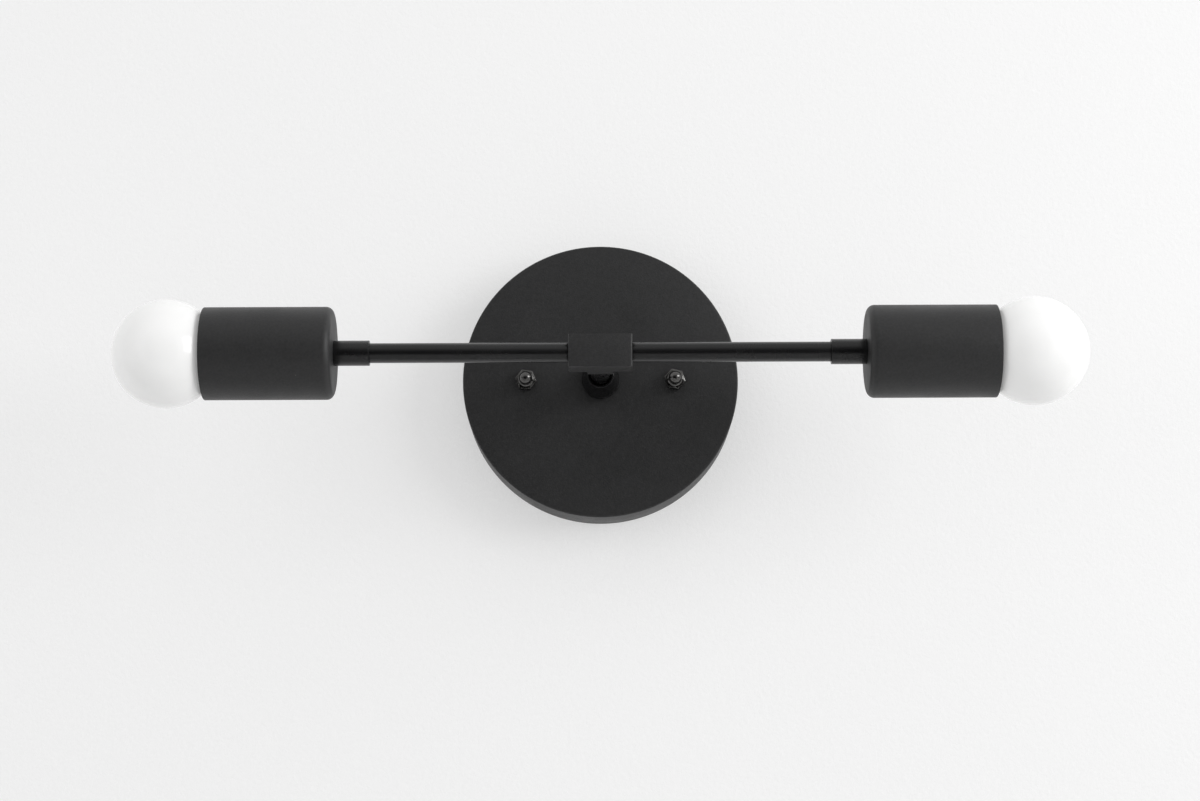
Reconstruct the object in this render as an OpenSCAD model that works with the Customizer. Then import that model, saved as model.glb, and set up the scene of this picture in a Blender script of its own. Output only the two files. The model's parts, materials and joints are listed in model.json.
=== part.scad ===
// Two-lamp vanity light: round canopy, stem, tee block, straight bar and two socket cups.
// X runs along the bar, Y points into the wall and Z points up. The origin lies on the wall
// plane, at the centre of the straps. A depth is a distance out from the wall, along -Y.

/* [Canopy] */
// Outer diameter of the canopy
canopy_d = 139.7; // [124:0.1:160]
// Depth of the canopy, from the wall to its face
canopy_depth = 28.5; // [26:0.5:36]
// Sheet thickness of the canopy
canopy_wall = 1; // [0.8:0.1:1.4]
// Outer radius of the canopy's edge
canopy_edge_r = 0.8; // [0.4:0.1:2]
// Distance between the two cap nuts
nut_spacing = 75.5; // [64:0.5:84]

/* [Bar] */
// Distance of the bar's axis from the wall
bar_reach = 105; // [92:1:130]
// Outer diameter of the arm and stem tubes
tube_d = 9.5; // [9:0.1:10.5]
// Wall of the arm and stem tubes
tube_wall = 1.1; // [0.9:0.1:1.2]
// Length of each arm that shows between block and coupling
arm_show = 94.8; // [60:0.2:140]

/* [Tee block] */
// Width of the block along the bar
block_w = 30.5; // [28:0.5:44]
// Height of the block
block_h = 15.8; // [14:0.2:20]
// Depth of the block without its boss
block_d = 15; // [13:0.5:18]
// Distance from the bar's axis to the block's front face
block_front = 6.5; // [6:0.1:7.5]
// Corner radius of the block, seen from above
block_corner_r = 2; // [0.8:0.1:2.5]
// Width of the boss behind the block
boss_w = 12.2; // [11.8:0.2:15]
// Length of the boss behind the block
boss_len = 6.5; // [5:0.5:10]
// Corner radius of the boss, seen from above
boss_corner_r = 1; // [0.4:0.1:1.2]
// How deep each arm is screwed into the block
arm_seat = 8.5; // [6:0.5:9]
// How deep the stem is screwed into the boss
stem_seat = 9; // [5:0.5:9.5]

/* [Stem] */
// Diameter of the collar at the canopy
collar_base_d = 19; // [17:0.5:24]
// Length of the collar's straight base
collar_base_len = 5.5; // [2:0.5:9]
// Diameter of the collar's front rim
collar_rim_d = 13.3; // [12.6:0.1:16]
// Length of the collar
collar_len = 17; // [13:0.5:24]
// Diameter of the open mouth in the collar's front
collar_mouth_d = 11.4; // [11:0.1:12]
// Depth of that mouth
collar_mouth_depth = 7; // [3:0.5:10]
// Length of the stem's thread that stands out behind its locknut
stem_tail = 2.5; // [1:0.5:3]

/* [Locknuts and washers] */
// Width across flats of the tube locknuts
locknut_af = 14; // [13:0.5:16]
// Thickness of the tube locknuts
locknut_t = 3.2; // [2.5:0.1:4]
// Outer diameter of the lock washers
washer_d = 16; // [13.5:0.5:18]
// Thickness of the lock washers
washer_t = 0.8; // [0.5:0.1:1.2]
// Number of teeth in a lock washer
washer_teeth = 10; // [6:1:12]

/* [Couplings] */
// Diameter of the couplings
coupling_d = 12.1; // [11.6:0.1:14]
// Length of the couplings
coupling_len = 17; // [14:0.5:24]
// Chamfer on the coupling's end
coupling_chamfer = 0.4; // [0.2:0.1:0.6]

/* [Cups] */
// Outer diameter of the socket cups
cup_d = 44.4; // [42.5:0.1:52]
// Length of the socket cups
cup_len = 61.8; // [58:0.2:70]
// Wall of the socket cups
cup_wall = 1.2; // [0.8:0.1:1.4]
// Outer radius of the cup's closed end
cup_edge_r = 3.5; // [1.5:0.1:5]

/* [Sockets] */
// Thickness of the bracket strip
bracket_t = 1.2; // [0.8:0.1:1.5]
// Width of the bracket strip
bracket_w = 17; // [16:0.5:18]
// Inner distance between the bracket's two legs
bracket_span = 20; // [19:0.5:21]
// Diameter of the bracket screws
bracket_screw_d = 3; // [2.5:0.1:3.2]
// Diameter of the moulded socket body
socket_d = 37; // [35:0.5:39]
// Length of the moulded socket body
socket_len = 36.5; // [35:0.5:42]
// Distance from the cup's mouth back to the front of the socket body
socket_setback = 8.6; // [6:0.1:10]
// Thickness of the socket body's floor
socket_floor = 5.5; // [5:0.5:7.5]
// Edge radius at the socket body's back
socket_edge_r = 1.5; // [0.5:0.1:2]
// Thickness of the screw shell's sheet
shell_t = 0.3; // [0.2:0.05:0.4]
// Distance of each terminal screw from the socket's axis
terminal_reach = 9.5; // [9:0.5:11]
// Diameter of the terminal screw heads
terminal_d = 6; // [5:0.5:7]
// Diameter of the terminal screws' threads
terminal_screw_d = 3; // [2.5:0.1:3.5]
// Diameter of the contact's rivet
rivet_d = 2; // [1.5:0.1:2.4]
// Thickness of the contact strip
contact_t = 0.5; // [0.3:0.1:0.6]
// Width of the contact strip
contact_w = 5; // [4:0.5:7]

/* [Bulbs] */
// Diameter of the globe
globe_d = 52; // [46:0.5:60]
// Length of the bulb's metal base, with the tip
base_len = 26.5; // [25:0.5:28]
// Outer diameter of the bulb's thread
thread_d = 26.2; // [25.8:0.1:26.6]
// Pitch of the bulb's thread
thread_pitch = 3.629; // [3.4:0.001:3.8]
// Depth of the bulb's thread
thread_depth = 0.7; // [0.5:0.05:0.9]
// Turns of thread on the bulb's base
thread_turns = 4; // [3:1:4]
// Diameter of the pin behind the bulb's tip contact
tip_pin_d = 3; // [2:0.5:4]
// Diameter of the bulb's neck
neck_d = 25; // [24:0.1:25.2]
// How far inside the base's rim the neck starts to widen
neck_inset = 1.62; // [0.5:0.02:2]
// Radius of the blend between neck and globe
neck_blend_r = 8; // [5:0.5:12]
// Thickness of the glass
glass_t = 0.7; // [0.5:0.1:1]
// Distance from the socket body's front back to the bulb's tip
tip_depth = 25.2; // [24:0.1:26]

/* [Straps] */
// Thickness of both straps
strap_t = 1.6; // [1.2:0.1:2]
// Width of both straps
strap_w = 16; // [14:0.5:20]
// Length of the upright strap that goes on the outlet box
box_strap_len = 106; // [104:1:112]
// Distance between the outlet box's two screw holes
box_spacing = 88.9; // [84:0.1:89]
// Width of the outlet box slots
slot_w = 4.6; // [4.2:0.1:5]
// Length of the outlet box slots, end to end
slot_len = 12; // [8:0.5:14]
// Length of the level strap that carries the studs
stud_strap_len = 96; // [94:1:104]
// Bore of the eyelet that joins the straps
eyelet_bore_d = 10.1; // [9:0.1:10.5]
// Wall of the eyelet
eyelet_wall = 1.2; // [0.8:0.1:1.3]
// Width of the eyelet's flanges
eyelet_flange = 2; // [1:0.1:2.2]
// Thickness of the eyelet's flanges
eyelet_flange_t = 0.7; // [0.4:0.1:0.8]

/* [Studs and cap nuts] */
// Diameter of the canopy studs
stud_d = 4.1; // [3.8:0.1:4.3]
// Width across flats of the stud locknuts
stud_nut_af = 8.7; // [8:0.1:9.5]
// Thickness of the stud locknuts
stud_nut_t = 3.2; // [2.5:0.1:4]
// Width across flats of the cap nut's base
cap_af = 9.4; // [9:0.1:11]
// Thickness of the cap nut's base
cap_base_t = 4.4; // [3:0.1:6]
// Diameter of the cap nut's dome
dome_d = 6.8; // [6.6:0.1:7.6]
// Length of the dome in front of the base
dome_len = 7; // [6.2:0.1:9]
// Length of the stud inside the dome
stud_in_dome = 3; // [1:0.1:3]
// Turn of the left cap nut, where tightening has left it
left_nut_turn = -8; // [-30:1:30]
// Turn of the right cap nut, where tightening has left it
right_nut_turn = -13; // [-30:1:30]

/* [Wiring] */
// Diameter of the insulated leads
lead_d = 2.2; // [1.8:0.1:2.4]
// Distance of each lead from the middle of the tube
lead_offset = 1.5; // [1.3:0.05:1.6]
// Diameter of the bare ground wire
ground_d = 1.6; // [1.2:0.1:1.6]
// Depth at which the leads run up and down in the canopy
splice_depth = 13.5; // [13:0.5:15]
// Distance of the wire connectors' mouths from the centre line
splice_reach = 19; // [16:0.5:24]
// Length of a wire connector
connector_len = 22; // [18:0.5:24]
// Diameter of a wire connector's mouth
connector_d = 12.5; // [11:0.5:13]
// Height of the ground screw above the centre
ground_rise = 28; // [24:0.5:34]
// Thickness of the ground lug
lug_t = 0.8; // [0.5:0.1:1]
// Reach of the ground lug's tail from the stem's axis
lug_reach = 14; // [12:0.5:18]

/* [Fits] */
// Radial clearance in a screwed joint that stays closed
thread_gap = 0.05; // [0.02:0.01:0.08]
// Clearance between a moving piece and what it seats on
seat_gap = 0.1; // [0.05:0.05:0.2]
// Radial clearance round the bulb's thread
free_gap = 0.3; // [0.2:0.05:0.35]
// Radial clearance round the stem and the nipples where they pass through sheet metal
sheet_gap = 0.2; // [0.1:0.05:0.4]
// Radial clearance round the studs where they pass through the canopy
stud_gap = 0.4; // [0.2:0.05:0.6]

/* [Hidden] */
$fn = 96;

black = "#26262a";
steel = "#b9bcc0";
zinc = "#cfcabd";
brass = "#c9a34e";
opal = "#f6f5f1";
phenolic = "#1c1a19";
copper = "#c07040";
aluminium = "#d8d8d4";
green = "#3f7a4a";
orange = "#d9822b";
black_sheath = "#222222";
white_sheath = "#eeeeea";

// How far a cut runs past the surface that it opens
cut = 1;
// Points along one turn of a rolled thread
thread_steps = 8;

// Bores that follow from the tubes
tube_bore_d = tube_d - 2 * tube_wall;
tube_hole_d = tube_d + 2 * thread_gap;
passage_d = tube_d - 1.5;

// Depths along the stem
canopy_inner = canopy_depth - canopy_wall;
washer_depth = canopy_inner - lug_t - washer_t;
locknut_depth = washer_depth - locknut_t;
stem_back = locknut_depth - stem_tail;
boss_back = bar_reach + block_front - block_d - boss_len;
stem_front = boss_back + stem_seat;

// Length of thread left past the bracket
nipple_tail = 1.5;

// Distances along an arm, from the middle of the bar
block_side = block_w / 2;
arm_start = block_side - arm_seat;
coupling_start = block_side + arm_show;
cup_start = coupling_start + coupling_len;
arm_end = coupling_start + coupling_len / 2;
nipple_start = arm_end + 0.3;
cup_floor = cup_start + cup_wall;
cup_mouth = cup_start + cup_len;
cup_nut_start = cup_floor + washer_t;
bracket_start = cup_nut_start + locknut_t;
nipple_end = bracket_start + bracket_t + nipple_tail;
socket_front = cup_mouth - socket_setback;
socket_back = socket_front - socket_len;
socket_inside = socket_back + socket_floor;
bracket_stand = socket_back - bracket_start;
tip = socket_front - tip_depth;

// Radii of the two threads
crest_r = thread_d / 2;
shell_crest_r = crest_r + free_gap;
socket_bore_d = 2 * (shell_crest_r + thread_depth + shell_t + thread_gap);
shell_floor_rise = 2;
shell_lip = 2;
// Where the contact's foot is riveted, beside the socket's axis
contact_foot = -7.5;
// Distance from the bracket's leg to its screw
bracket_screw_step = 2.8;
// Socket floor left in front of each screw's end
blind_t = 1.5;
// Depth of the rivet in the socket floor
rivet_len = 2.8;

// Along the bulb, from its tip contact
tip_t = 1.2;
tip_d = 9;
insulator_len = 5;
// Radius at which the base shell turns in towards the insulator
base_edge_r = crest_r - thread_depth - 1;
thread_start = insulator_len + 1;
skirt_start = thread_start + thread_turns * thread_pitch;
neck_start = skirt_start + 0.8;
blend_start = base_len - neck_inset;
blend_drop = sqrt(pow(globe_d / 2 + neck_blend_r, 2) - pow(neck_d / 2 + neck_blend_r, 2));
globe_centre = blend_start + blend_drop;
mount_len = 15;
mount_d = 9;
flare_t = 1;
filament_rise = 12;
filament_spread = 8;
wire_d = 0.8;

// The eyelet's tube and flanges
eyelet_d = eyelet_bore_d + 2 * eyelet_wall;
eyelet_flange_d = eyelet_d + 2 * eyelet_flange;

// Depths of the studs and cap nuts
cap_depth = canopy_depth + seat_gap;
dome_depth = cap_depth + cap_base_t + thread_gap;
stud_back = strap_t * 0.7;
stud_front = dome_depth + stud_in_dome;

// The leads' corners
lead_bend = 5;
end_bend = 3;
lead_rise = socket_back - lead_d / 2 - thread_gap;
lead_end = terminal_reach - terminal_d / 2 - seat_gap;
lead_in_connector = 8;

// The ground wire's route, from the lug on the stem to its screw on the strap
ground_bend = 4;
ground_run = 20;
lug_wire_depth = canopy_inner - lug_t - ground_d / 2 - thread_gap;
strap_wire_depth = strap_t + ground_d / 2 + thread_gap;
screw_side = ground_rise + stud_d / 2 + ground_d / 2 + thread_gap;
ground_route = [
    [locknut_af / 2 + 2.2, -lug_wire_depth, 0],
    [ground_run, -lug_wire_depth, 0],
    [ground_run + 1, -lug_wire_depth / 2, screw_side / 2],
    [ground_run - 5, -strap_wire_depth, screw_side],
    [-1, -strap_wire_depth, screw_side]
];

// Places a shape whose own Z is the depth out from the wall
module from_wall(depth = 0) {
    translate([0, -depth, 0]) rotate([90, 0, 0]) children();
}

// Places a shape whose own Z runs outwards along one arm, side 1 to the right and -1 to the left
module on_arm(side, distance = 0) {
    translate([0, -bar_reach, 0])
        rotate([0, 0, side > 0 ? 0 : 180])
            rotate([0, 90, 0])
                translate([0, 0, distance]) children();
}

module both_arms(distance = 0) {
    for (side = [-1, 1]) on_arm(side, distance) children();
}

module tube(outer_d, bore_d, length) {
    difference() {
        cylinder(d = outer_d, h = length);
        translate([0, 0, -cut]) cylinder(d = bore_d, h = length + 2 * cut);
    }
}

module hexagon(across_flats, length) {
    cylinder(d = across_flats / cos(30), h = length, $fn = 6);
}

// Hexagon nut with its corners broken at the far end
module hex_nut(across_flats, bore_d, length) {
    corner_d = across_flats / cos(30);
    break = (corner_d - across_flats) / 2;
    difference() {
        intersection() {
            hexagon(across_flats, length);
            union() {
                cylinder(d = corner_d + 1, h = length - break / 2);
                translate([0, 0, length - break / 2])
                    cylinder(d1 = corner_d, d2 = across_flats, h = break / 2);
            }
        }
        translate([0, 0, -cut]) cylinder(d = bore_d, h = length + 2 * cut);
    }
}

// Half outline of a round can, closed at the bottom, with a rounded edge there
module can_outline(r, length, edge_r) {
    translate([0, edge_r]) square([r, length - edge_r]);
    square([r - edge_r, edge_r]);
    translate([r - edge_r, edge_r]) circle(edge_r);
}

module can(d, length, wall, edge_r) {
    rotate_extrude()
        intersection() {
            square([d, length]);
            difference() {
                can_outline(d / 2, length, edge_r);
                translate([0, wall]) can_outline(d / 2 - wall, length, max(edge_r - wall, 0.2));
            }
        }
}

// Rectangle from one corner to the other, with round corners
module round_rectangle(low, high, r) {
    size = high - low;
    translate([low.x + r, low.y]) square([size.x - 2 * r, size.y]);
    translate([low.x, low.y + r]) square([size.x, size.y - 2 * r]);
    for (x = [low.x + r, high.x - r], y = [low.y + r, high.y - r]) translate([x, y]) circle(r);
}

// Toothed lock washer
module lock_washer() {
    bore_d = tube_hole_d + 1.4;
    notch_w = 1;
    notch_len = (washer_d - bore_d) / 4;
    difference() {
        cylinder(d = washer_d, h = washer_t);
        translate([0, 0, -cut]) cylinder(d = bore_d, h = washer_t + 2 * cut);
        for (i = [0:washer_teeth - 1])
            rotate(i * 360 / washer_teeth)
                translate([bore_d / 2 - notch_w, -notch_w / 2, -cut])
                    cube([notch_w + notch_len, notch_w, washer_t + 2 * cut]);
    }
}

module tube_locknut() {
    hex_nut(locknut_af, tube_hole_d, locknut_t);
}

// Outer points of a rolled thread: each turn has a round crest and a round root
function thread_points(crest, depth, first, turns) = [
    for (i = [0:thread_steps * turns])
        [crest - depth * (1 - cos(i * 360 / thread_steps)) / 2, first + i * thread_pitch / thread_steps]
];

function shifted(points, inwards) = [for (p = points) [p.x - inwards, p.y]];
function reversed(points) = [for (i = [len(points) - 1:-1:0]) points[i]];

module canopy() {
    color(black)
        difference() {
            from_wall(canopy_depth) mirror([0, 0, 1])
                can(canopy_d, canopy_depth, canopy_wall, canopy_edge_r);
            from_wall(canopy_inner - cut)
                cylinder(d = tube_hole_d + 2 * sheet_gap, h = canopy_wall + 2 * cut);
            stud_places()
                from_wall(canopy_inner - cut) cylinder(d = stud_d + 2 * stud_gap, h = canopy_wall + 2 * cut);
        }
}

module collar() {
    color(black)
        from_wall(canopy_depth)
            difference() {
                union() {
                    cylinder(d = collar_base_d, h = collar_base_len);
                    translate([0, 0, collar_base_len])
                        cylinder(d1 = collar_base_d, d2 = collar_rim_d, h = collar_len - collar_base_len);
                }
                translate([0, 0, -cut]) cylinder(d = tube_hole_d, h = collar_len + 2 * cut);
                translate([0, 0, collar_len - collar_mouth_depth])
                    cylinder(d = collar_mouth_d, h = collar_mouth_depth + cut);
            }
}

module stem_tube() {
    color(black) from_wall(stem_back) tube(tube_d, tube_bore_d, stem_front - stem_back);
}

module stem_washer() {
    color(steel) from_wall(washer_depth) lock_washer();
}

module stem_locknut() {
    color(steel) from_wall(locknut_depth) tube_locknut();
}

// Block and boss, seen from above, with the block's front towards -Y
module tee_outline() {
    front = -bar_reach - block_front;
    round_rectangle([-block_side, front], [block_side, front + block_d], block_corner_r);
    round_rectangle([-boss_w / 2, front + block_d / 2], [boss_w / 2, -boss_back], boss_corner_r);
}

module tee_block() {
    color(black)
        difference() {
            translate([0, 0, -block_h / 2]) linear_extrude(block_h) tee_outline();
            both_arms(arm_start) cylinder(d = tube_hole_d, h = arm_seat + cut);
            on_arm(1, -block_side) cylinder(d = passage_d, h = block_w);
            from_wall(boss_back) cylinder(d = passage_d, h = bar_reach - boss_back);
            from_wall(boss_back - cut) cylinder(d = tube_hole_d, h = stem_seat + cut);
        }
}

module arm_tube(side) {
    color(black) on_arm(side, arm_start) tube(tube_d, tube_bore_d, arm_end - arm_start);
}

module coupling(side) {
    color(black)
        on_arm(side, coupling_start)
            difference() {
                union() {
                    cylinder(d1 = coupling_d - 2 * coupling_chamfer, d2 = coupling_d, h = coupling_chamfer);
                    translate([0, 0, coupling_chamfer])
                        cylinder(d = coupling_d, h = coupling_len - coupling_chamfer);
                }
                translate([0, 0, -cut]) cylinder(d = tube_hole_d, h = coupling_len + 2 * cut);
            }
}

module nipple(side) {
    color(zinc) on_arm(side, nipple_start) tube(tube_d, tube_bore_d, nipple_end - nipple_start);
}

module socket_cup(side) {
    color(black)
        on_arm(side, cup_start)
            difference() {
                can(cup_d, cup_len, cup_wall, cup_edge_r);
                translate([0, 0, -cut]) cylinder(d = tube_hole_d + 2 * sheet_gap, h = cup_wall + 2 * cut);
            }
}

module cup_washers() {
    color(steel) both_arms(cup_floor) lock_washer();
}

module cup_locknuts() {
    color(steel) both_arms(cup_nut_start) tube_locknut();
}

// Hat-shaped strip: its crown is on the nipple and its two feet carry the socket body
module socket_bracket(side) {
    crown = bracket_span + 2 * bracket_t;
    foot_w = 8;
    foot_len = bracket_t + 5.5;
    hole_d = bracket_screw_d + 0.4;
    color(zinc)
        on_arm(side, bracket_start)
            difference() {
                union() {
                    translate([-bracket_w / 2, -crown / 2, 0]) cube([bracket_w, crown, bracket_t]);
                    for (turn = [0, 180]) rotate(turn) {
                        translate([-bracket_w / 2, bracket_span / 2, 0])
                            cube([bracket_w, bracket_t, bracket_stand]);
                        translate([-foot_w / 2, bracket_span / 2, bracket_stand - bracket_t])
                            cube([foot_w, foot_len, bracket_t]);
                    }
                }
                translate([0, 0, -cut]) cylinder(d = tube_hole_d, h = bracket_t + 2 * cut);
                bracket_screw_places() translate([0, 0, bracket_stand - bracket_t - cut])
                    cylinder(d = hole_d, h = bracket_t + 2 * cut);
            }
}

module bracket_screw_places() {
    for (turn = [0, 180])
        rotate(turn) translate([0, bracket_span / 2 + bracket_t + bracket_screw_step, 0]) children();
}

// Round screw head below its own base, with a slot across its outer face
module slotted_head(d, t, groove_w) {
    groove_depth = t * 0.45;
    difference() {
        translate([0, 0, -t]) cylinder(d = d, h = t);
        translate([-d, -groove_w / 2, -t - cut]) cube([2 * d, groove_w, groove_depth + cut]);
    }
}

module bracket_screws() {
    head_d = bracket_screw_d + 2;
    head_t = 1.6;
    color(zinc)
        both_arms(socket_back)
            bracket_screw_places() translate([0, 0, -bracket_t]) {
                cylinder(d = bracket_screw_d, h = bracket_t + socket_floor - blind_t);
                slotted_head(head_d, head_t, 0.7);
            }
}

module socket_body(side) {
    color(phenolic)
        on_arm(side, socket_back)
            difference() {
                rotate_extrude() intersection() {
                    square([socket_d, socket_len]);
                    can_outline(socket_d / 2, socket_len, socket_edge_r);
                }
                translate([0, 0, socket_floor]) cylinder(d = socket_bore_d, h = socket_len);
                bracket_screw_places() screw_pilot(bracket_screw_d);
                terminal_places() screw_pilot(terminal_screw_d);
                translate([0, contact_foot, socket_floor - rivet_len - thread_gap])
                    cylinder(d = rivet_d + 2 * thread_gap, h = rivet_len + thread_gap + cut);
            }
}

// Blind hole from the socket's back
module screw_pilot(screw_d) {
    depth = socket_floor - blind_t + 2 * thread_gap;
    translate([0, 0, -cut]) cylinder(d = screw_d + 2 * thread_gap, h = depth + cut);
}

module terminal_places() {
    for (x = [-1, 1] * terminal_reach) translate([x, 0, 0]) children();
}

// Rolled metal shell that the bulb screws into, with a floor round its centre hole
module screw_shell(side) {
    inner_r = shell_crest_r + thread_depth;
    floor_hole_d = 19;
    first = shell_floor_rise + 2.2;
    last = socket_len - socket_floor - shell_lip;
    turns = floor((last - first) / thread_pitch);
    thread = thread_points(inner_r, thread_depth, first, turns);
    wall = concat([[inner_r, shell_floor_rise]], thread, [[inner_r, last]]);
    color(aluminium)
        on_arm(side, socket_inside)
            union() {
                rotate_extrude() polygon(concat(wall, reversed(shifted(wall, -shell_t))));
                translate([0, 0, shell_floor_rise - shell_t])
                    tube(2 * (inner_r + shell_t), floor_hole_d, shell_t);
            }
}

// Brass strip: foot on the socket floor, slope, and the pad that the bulb's tip presses
module centre_contact(side) {
    rise = tip - seat_gap - socket_inside;
    foot_end = contact_foot - 2;
    bend = contact_foot + 2.5;
    pad_start = -2.5;
    pad_end = 3;
    lean = 0.3;
    color(brass)
        on_arm(side, socket_inside)
            difference() {
                translate([-contact_w / 2, 0, 0]) rotate([90, 0, 90])
                    linear_extrude(contact_w)
                        polygon([
                            [foot_end, 0], [bend, 0],
                            [pad_start, rise - contact_t], [pad_end, rise - contact_t],
                            [pad_end, rise], [pad_start - lean, rise],
                            [bend - lean, contact_t], [foot_end, contact_t]
                        ]);
                translate([0, contact_foot, -cut])
                    cylinder(d = rivet_d + 2 * thread_gap, h = contact_t + 2 * cut);
            }
}

module contact_rivets() {
    head_d = rivet_d + 1.4;
    head_t = 0.5;
    color(brass)
        both_arms(socket_inside) translate([0, contact_foot, 0]) {
            translate([0, 0, -rivet_len]) cylinder(d = rivet_d, h = rivet_len + contact_t);
            translate([0, 0, contact_t]) cylinder(d = head_d, h = head_t);
        }
}

// Terminal screw on the socket's back, with a slot in its head
module terminal_screw() {
    head_t = 1.6;
    lift = lead_d / 2;
    translate([0, 0, -lift]) {
        cylinder(d = terminal_screw_d, h = lift + socket_floor - blind_t);
        slotted_head(terminal_d, head_t, 1);
    }
}

module live_terminals() {
    color(brass) both_arms(socket_back) translate([-terminal_reach, 0, 0]) terminal_screw();
}

module neutral_terminals() {
    color(steel) both_arms(socket_back) translate([terminal_reach, 0, 0]) terminal_screw();
}

// Half outline of the glass, from the neck's open end to the top of the globe
module glass_outline(inset) {
    r = globe_d / 2 - inset;
    neck_r = neck_d / 2 - inset;
    blend_r = neck_blend_r + inset;
    centre_r = neck_d / 2 + neck_blend_r;
    meet = [centre_r, -blend_drop] * r / (globe_d / 2 + neck_blend_r);
    translate([0, globe_centre]) intersection() {
        circle(r);
        translate([0, -r]) square([r, 2 * r]);
    }
    difference() {
        polygon([
            [0, neck_start - inset], [neck_r, neck_start - inset], [neck_r, blend_start],
            [meet.x, globe_centre + meet.y], [0, globe_centre]
        ]);
        translate([centre_r, blend_start]) circle(blend_r);
    }
}

module globe(side) {
    color(opal)
        on_arm(side, tip)
            rotate_extrude() difference() {
                glass_outline(0);
                glass_outline(glass_t);
            }
}

// Glass stem with a flare that closes the neck
module glass_mount(side) {
    color(opal, 0.5)
        on_arm(side, tip + neck_start)
            union() {
                cylinder(d = neck_d - 2 * glass_t - 2 * thread_gap, h = flare_t);
                cylinder(d = mount_d, h = mount_len);
            }
}

// Two support wires and the filament between them
module filament(side) {
    foot = mount_d / 4;
    bead_d = wire_d * 1.4;
    rise = filament_rise - bead_d / 2;
    lean = atan((filament_spread - foot) / rise);
    bridge_d = wire_d / 2;
    color(steel)
        on_arm(side, tip + neck_start + mount_len)
            union() {
                for (s = [-1, 1]) translate([0, s * foot, 0]) {
                    cylinder(d = wire_d, h = bead_d / 2, $fn = 24);
                    translate([0, 0, bead_d / 2]) {
                        sphere(d = bead_d, $fn = 24);
                        rotate([-s * lean, 0, 0]) cylinder(d = wire_d, h = rise / cos(lean), $fn = 24);
                    }
                }
                for (s = [-1, 1])
                    translate([0, s * filament_spread, filament_rise]) sphere(d = bead_d, $fn = 24);
                translate([0, -filament_spread, filament_rise]) rotate([-90, 0, 0])
                    cylinder(d = wire_d, h = 2 * filament_spread, $fn = 24);
                translate([0, -foot, bridge_d / 2]) rotate([-90, 0, 0])
                    cylinder(d = bridge_d, h = 2 * foot, $fn = 24);
            }
}

// Rolled base shell: closed cone edge, thread and plain skirt
module bulb_base(side) {
    thread = thread_points(crest_r, thread_depth, thread_start + thread_pitch / 2, thread_turns - 1);
    wall = concat([[base_edge_r, insulator_len]], thread, [[crest_r, skirt_start], [crest_r, base_len]]);
    color(aluminium)
        on_arm(side, tip) rotate_extrude() polygon(concat(wall, reversed(shifted(wall, shell_t))));
}

module insulator(side) {
    outer_d = 2 * (base_edge_r - shell_t - seat_gap);
    color(phenolic)
        on_arm(side, tip)
            translate([0, 0, tip_t])
                difference() {
                    cylinder(d1 = tip_d + 1, d2 = outer_d, h = insulator_len - tip_t);
                    translate([0, 0, -cut])
                        cylinder(d = tip_pin_d + 2 * thread_gap, h = insulator_len + 2 * cut);
                }
}

module tip_contact(side) {
    color(zinc)
        on_arm(side, tip)
            union() {
                cylinder(d1 = tip_d - 4, d2 = tip_d, h = tip_t);
                cylinder(d = tip_pin_d, h = insulator_len);
            }
}

module box_strap() {
    half = box_strap_len / 2;
    color(zinc)
        difference() {
            from_wall(0) linear_extrude(strap_t)
                round_rectangle([-strap_w / 2, -half], [strap_w / 2, half], strap_w / 4);
            for (z = [-1, 1] * box_spacing / 2, step = [-1, 1] * (slot_len - slot_w) / 2)
                translate([0, 0, z + step]) from_wall(-cut) cylinder(d = slot_w, h = strap_t + 2 * cut);
            for (z = [-1, 1] * box_spacing / 2)
                translate([-slot_w / 2, -strap_t - cut, z - (slot_len - slot_w) / 2])
                    cube([slot_w, strap_t + 2 * cut, slot_len - slot_w]);
            from_wall(-cut) cylinder(d = eyelet_d + 2 * thread_gap, h = strap_t + 2 * cut);
            from_wall(-cut)
                cylinder(d = eyelet_flange_d + 2 * sheet_gap, h = eyelet_flange_t + cut + thread_gap);
            translate([0, 0, ground_rise])
                from_wall(-cut) cylinder(d = stud_d + 2 * thread_gap, h = strap_t + 2 * cut);
        }
}

module stud_strap() {
    half = stud_strap_len / 2;
    color(zinc)
        difference() {
            from_wall(strap_t) linear_extrude(strap_t)
                round_rectangle([-half, -strap_w / 2], [half, strap_w / 2], strap_w / 4);
            from_wall(strap_t - cut) cylinder(d = eyelet_d + 2 * thread_gap, h = strap_t + 2 * cut);
            stud_places()
                from_wall(strap_t - cut) cylinder(d = stud_d + 2 * thread_gap, h = strap_t + 2 * cut);
        }
}

// Flanged eyelet, flush with the wall side, that both straps turn on while they are levelled
module strap_eyelet() {
    length = 2 * strap_t + eyelet_flange_t;
    color(brass)
        from_wall(0)
            difference() {
                union() {
                    cylinder(d = eyelet_d, h = length);
                    for (depth = [0, 2 * strap_t]) translate([0, 0, depth])
                        cylinder(d = eyelet_flange_d, h = eyelet_flange_t);
                }
                translate([0, 0, -cut]) cylinder(d = eyelet_bore_d, h = length + 2 * cut);
            }
}

module stud_places() {
    for (x = [-1, 1] * nut_spacing / 2) translate([x, 0, 0]) children();
}

module canopy_studs() {
    color(steel) stud_places() from_wall(stud_back) cylinder(d = stud_d, h = stud_front - stud_back);
}

module stud_locknuts() {
    color(steel)
        stud_places() from_wall(2 * strap_t) hex_nut(stud_nut_af, stud_d + 2 * thread_gap, stud_nut_t);
}

module cap_nut(side) {
    turn = side > 0 ? right_nut_turn : left_nut_turn;
    color(black)
        translate([side * nut_spacing / 2, 0, 0])
            from_wall(cap_depth) rotate(turn) hex_nut(cap_af, stud_d + 2 * thread_gap, cap_base_t);
}

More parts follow.
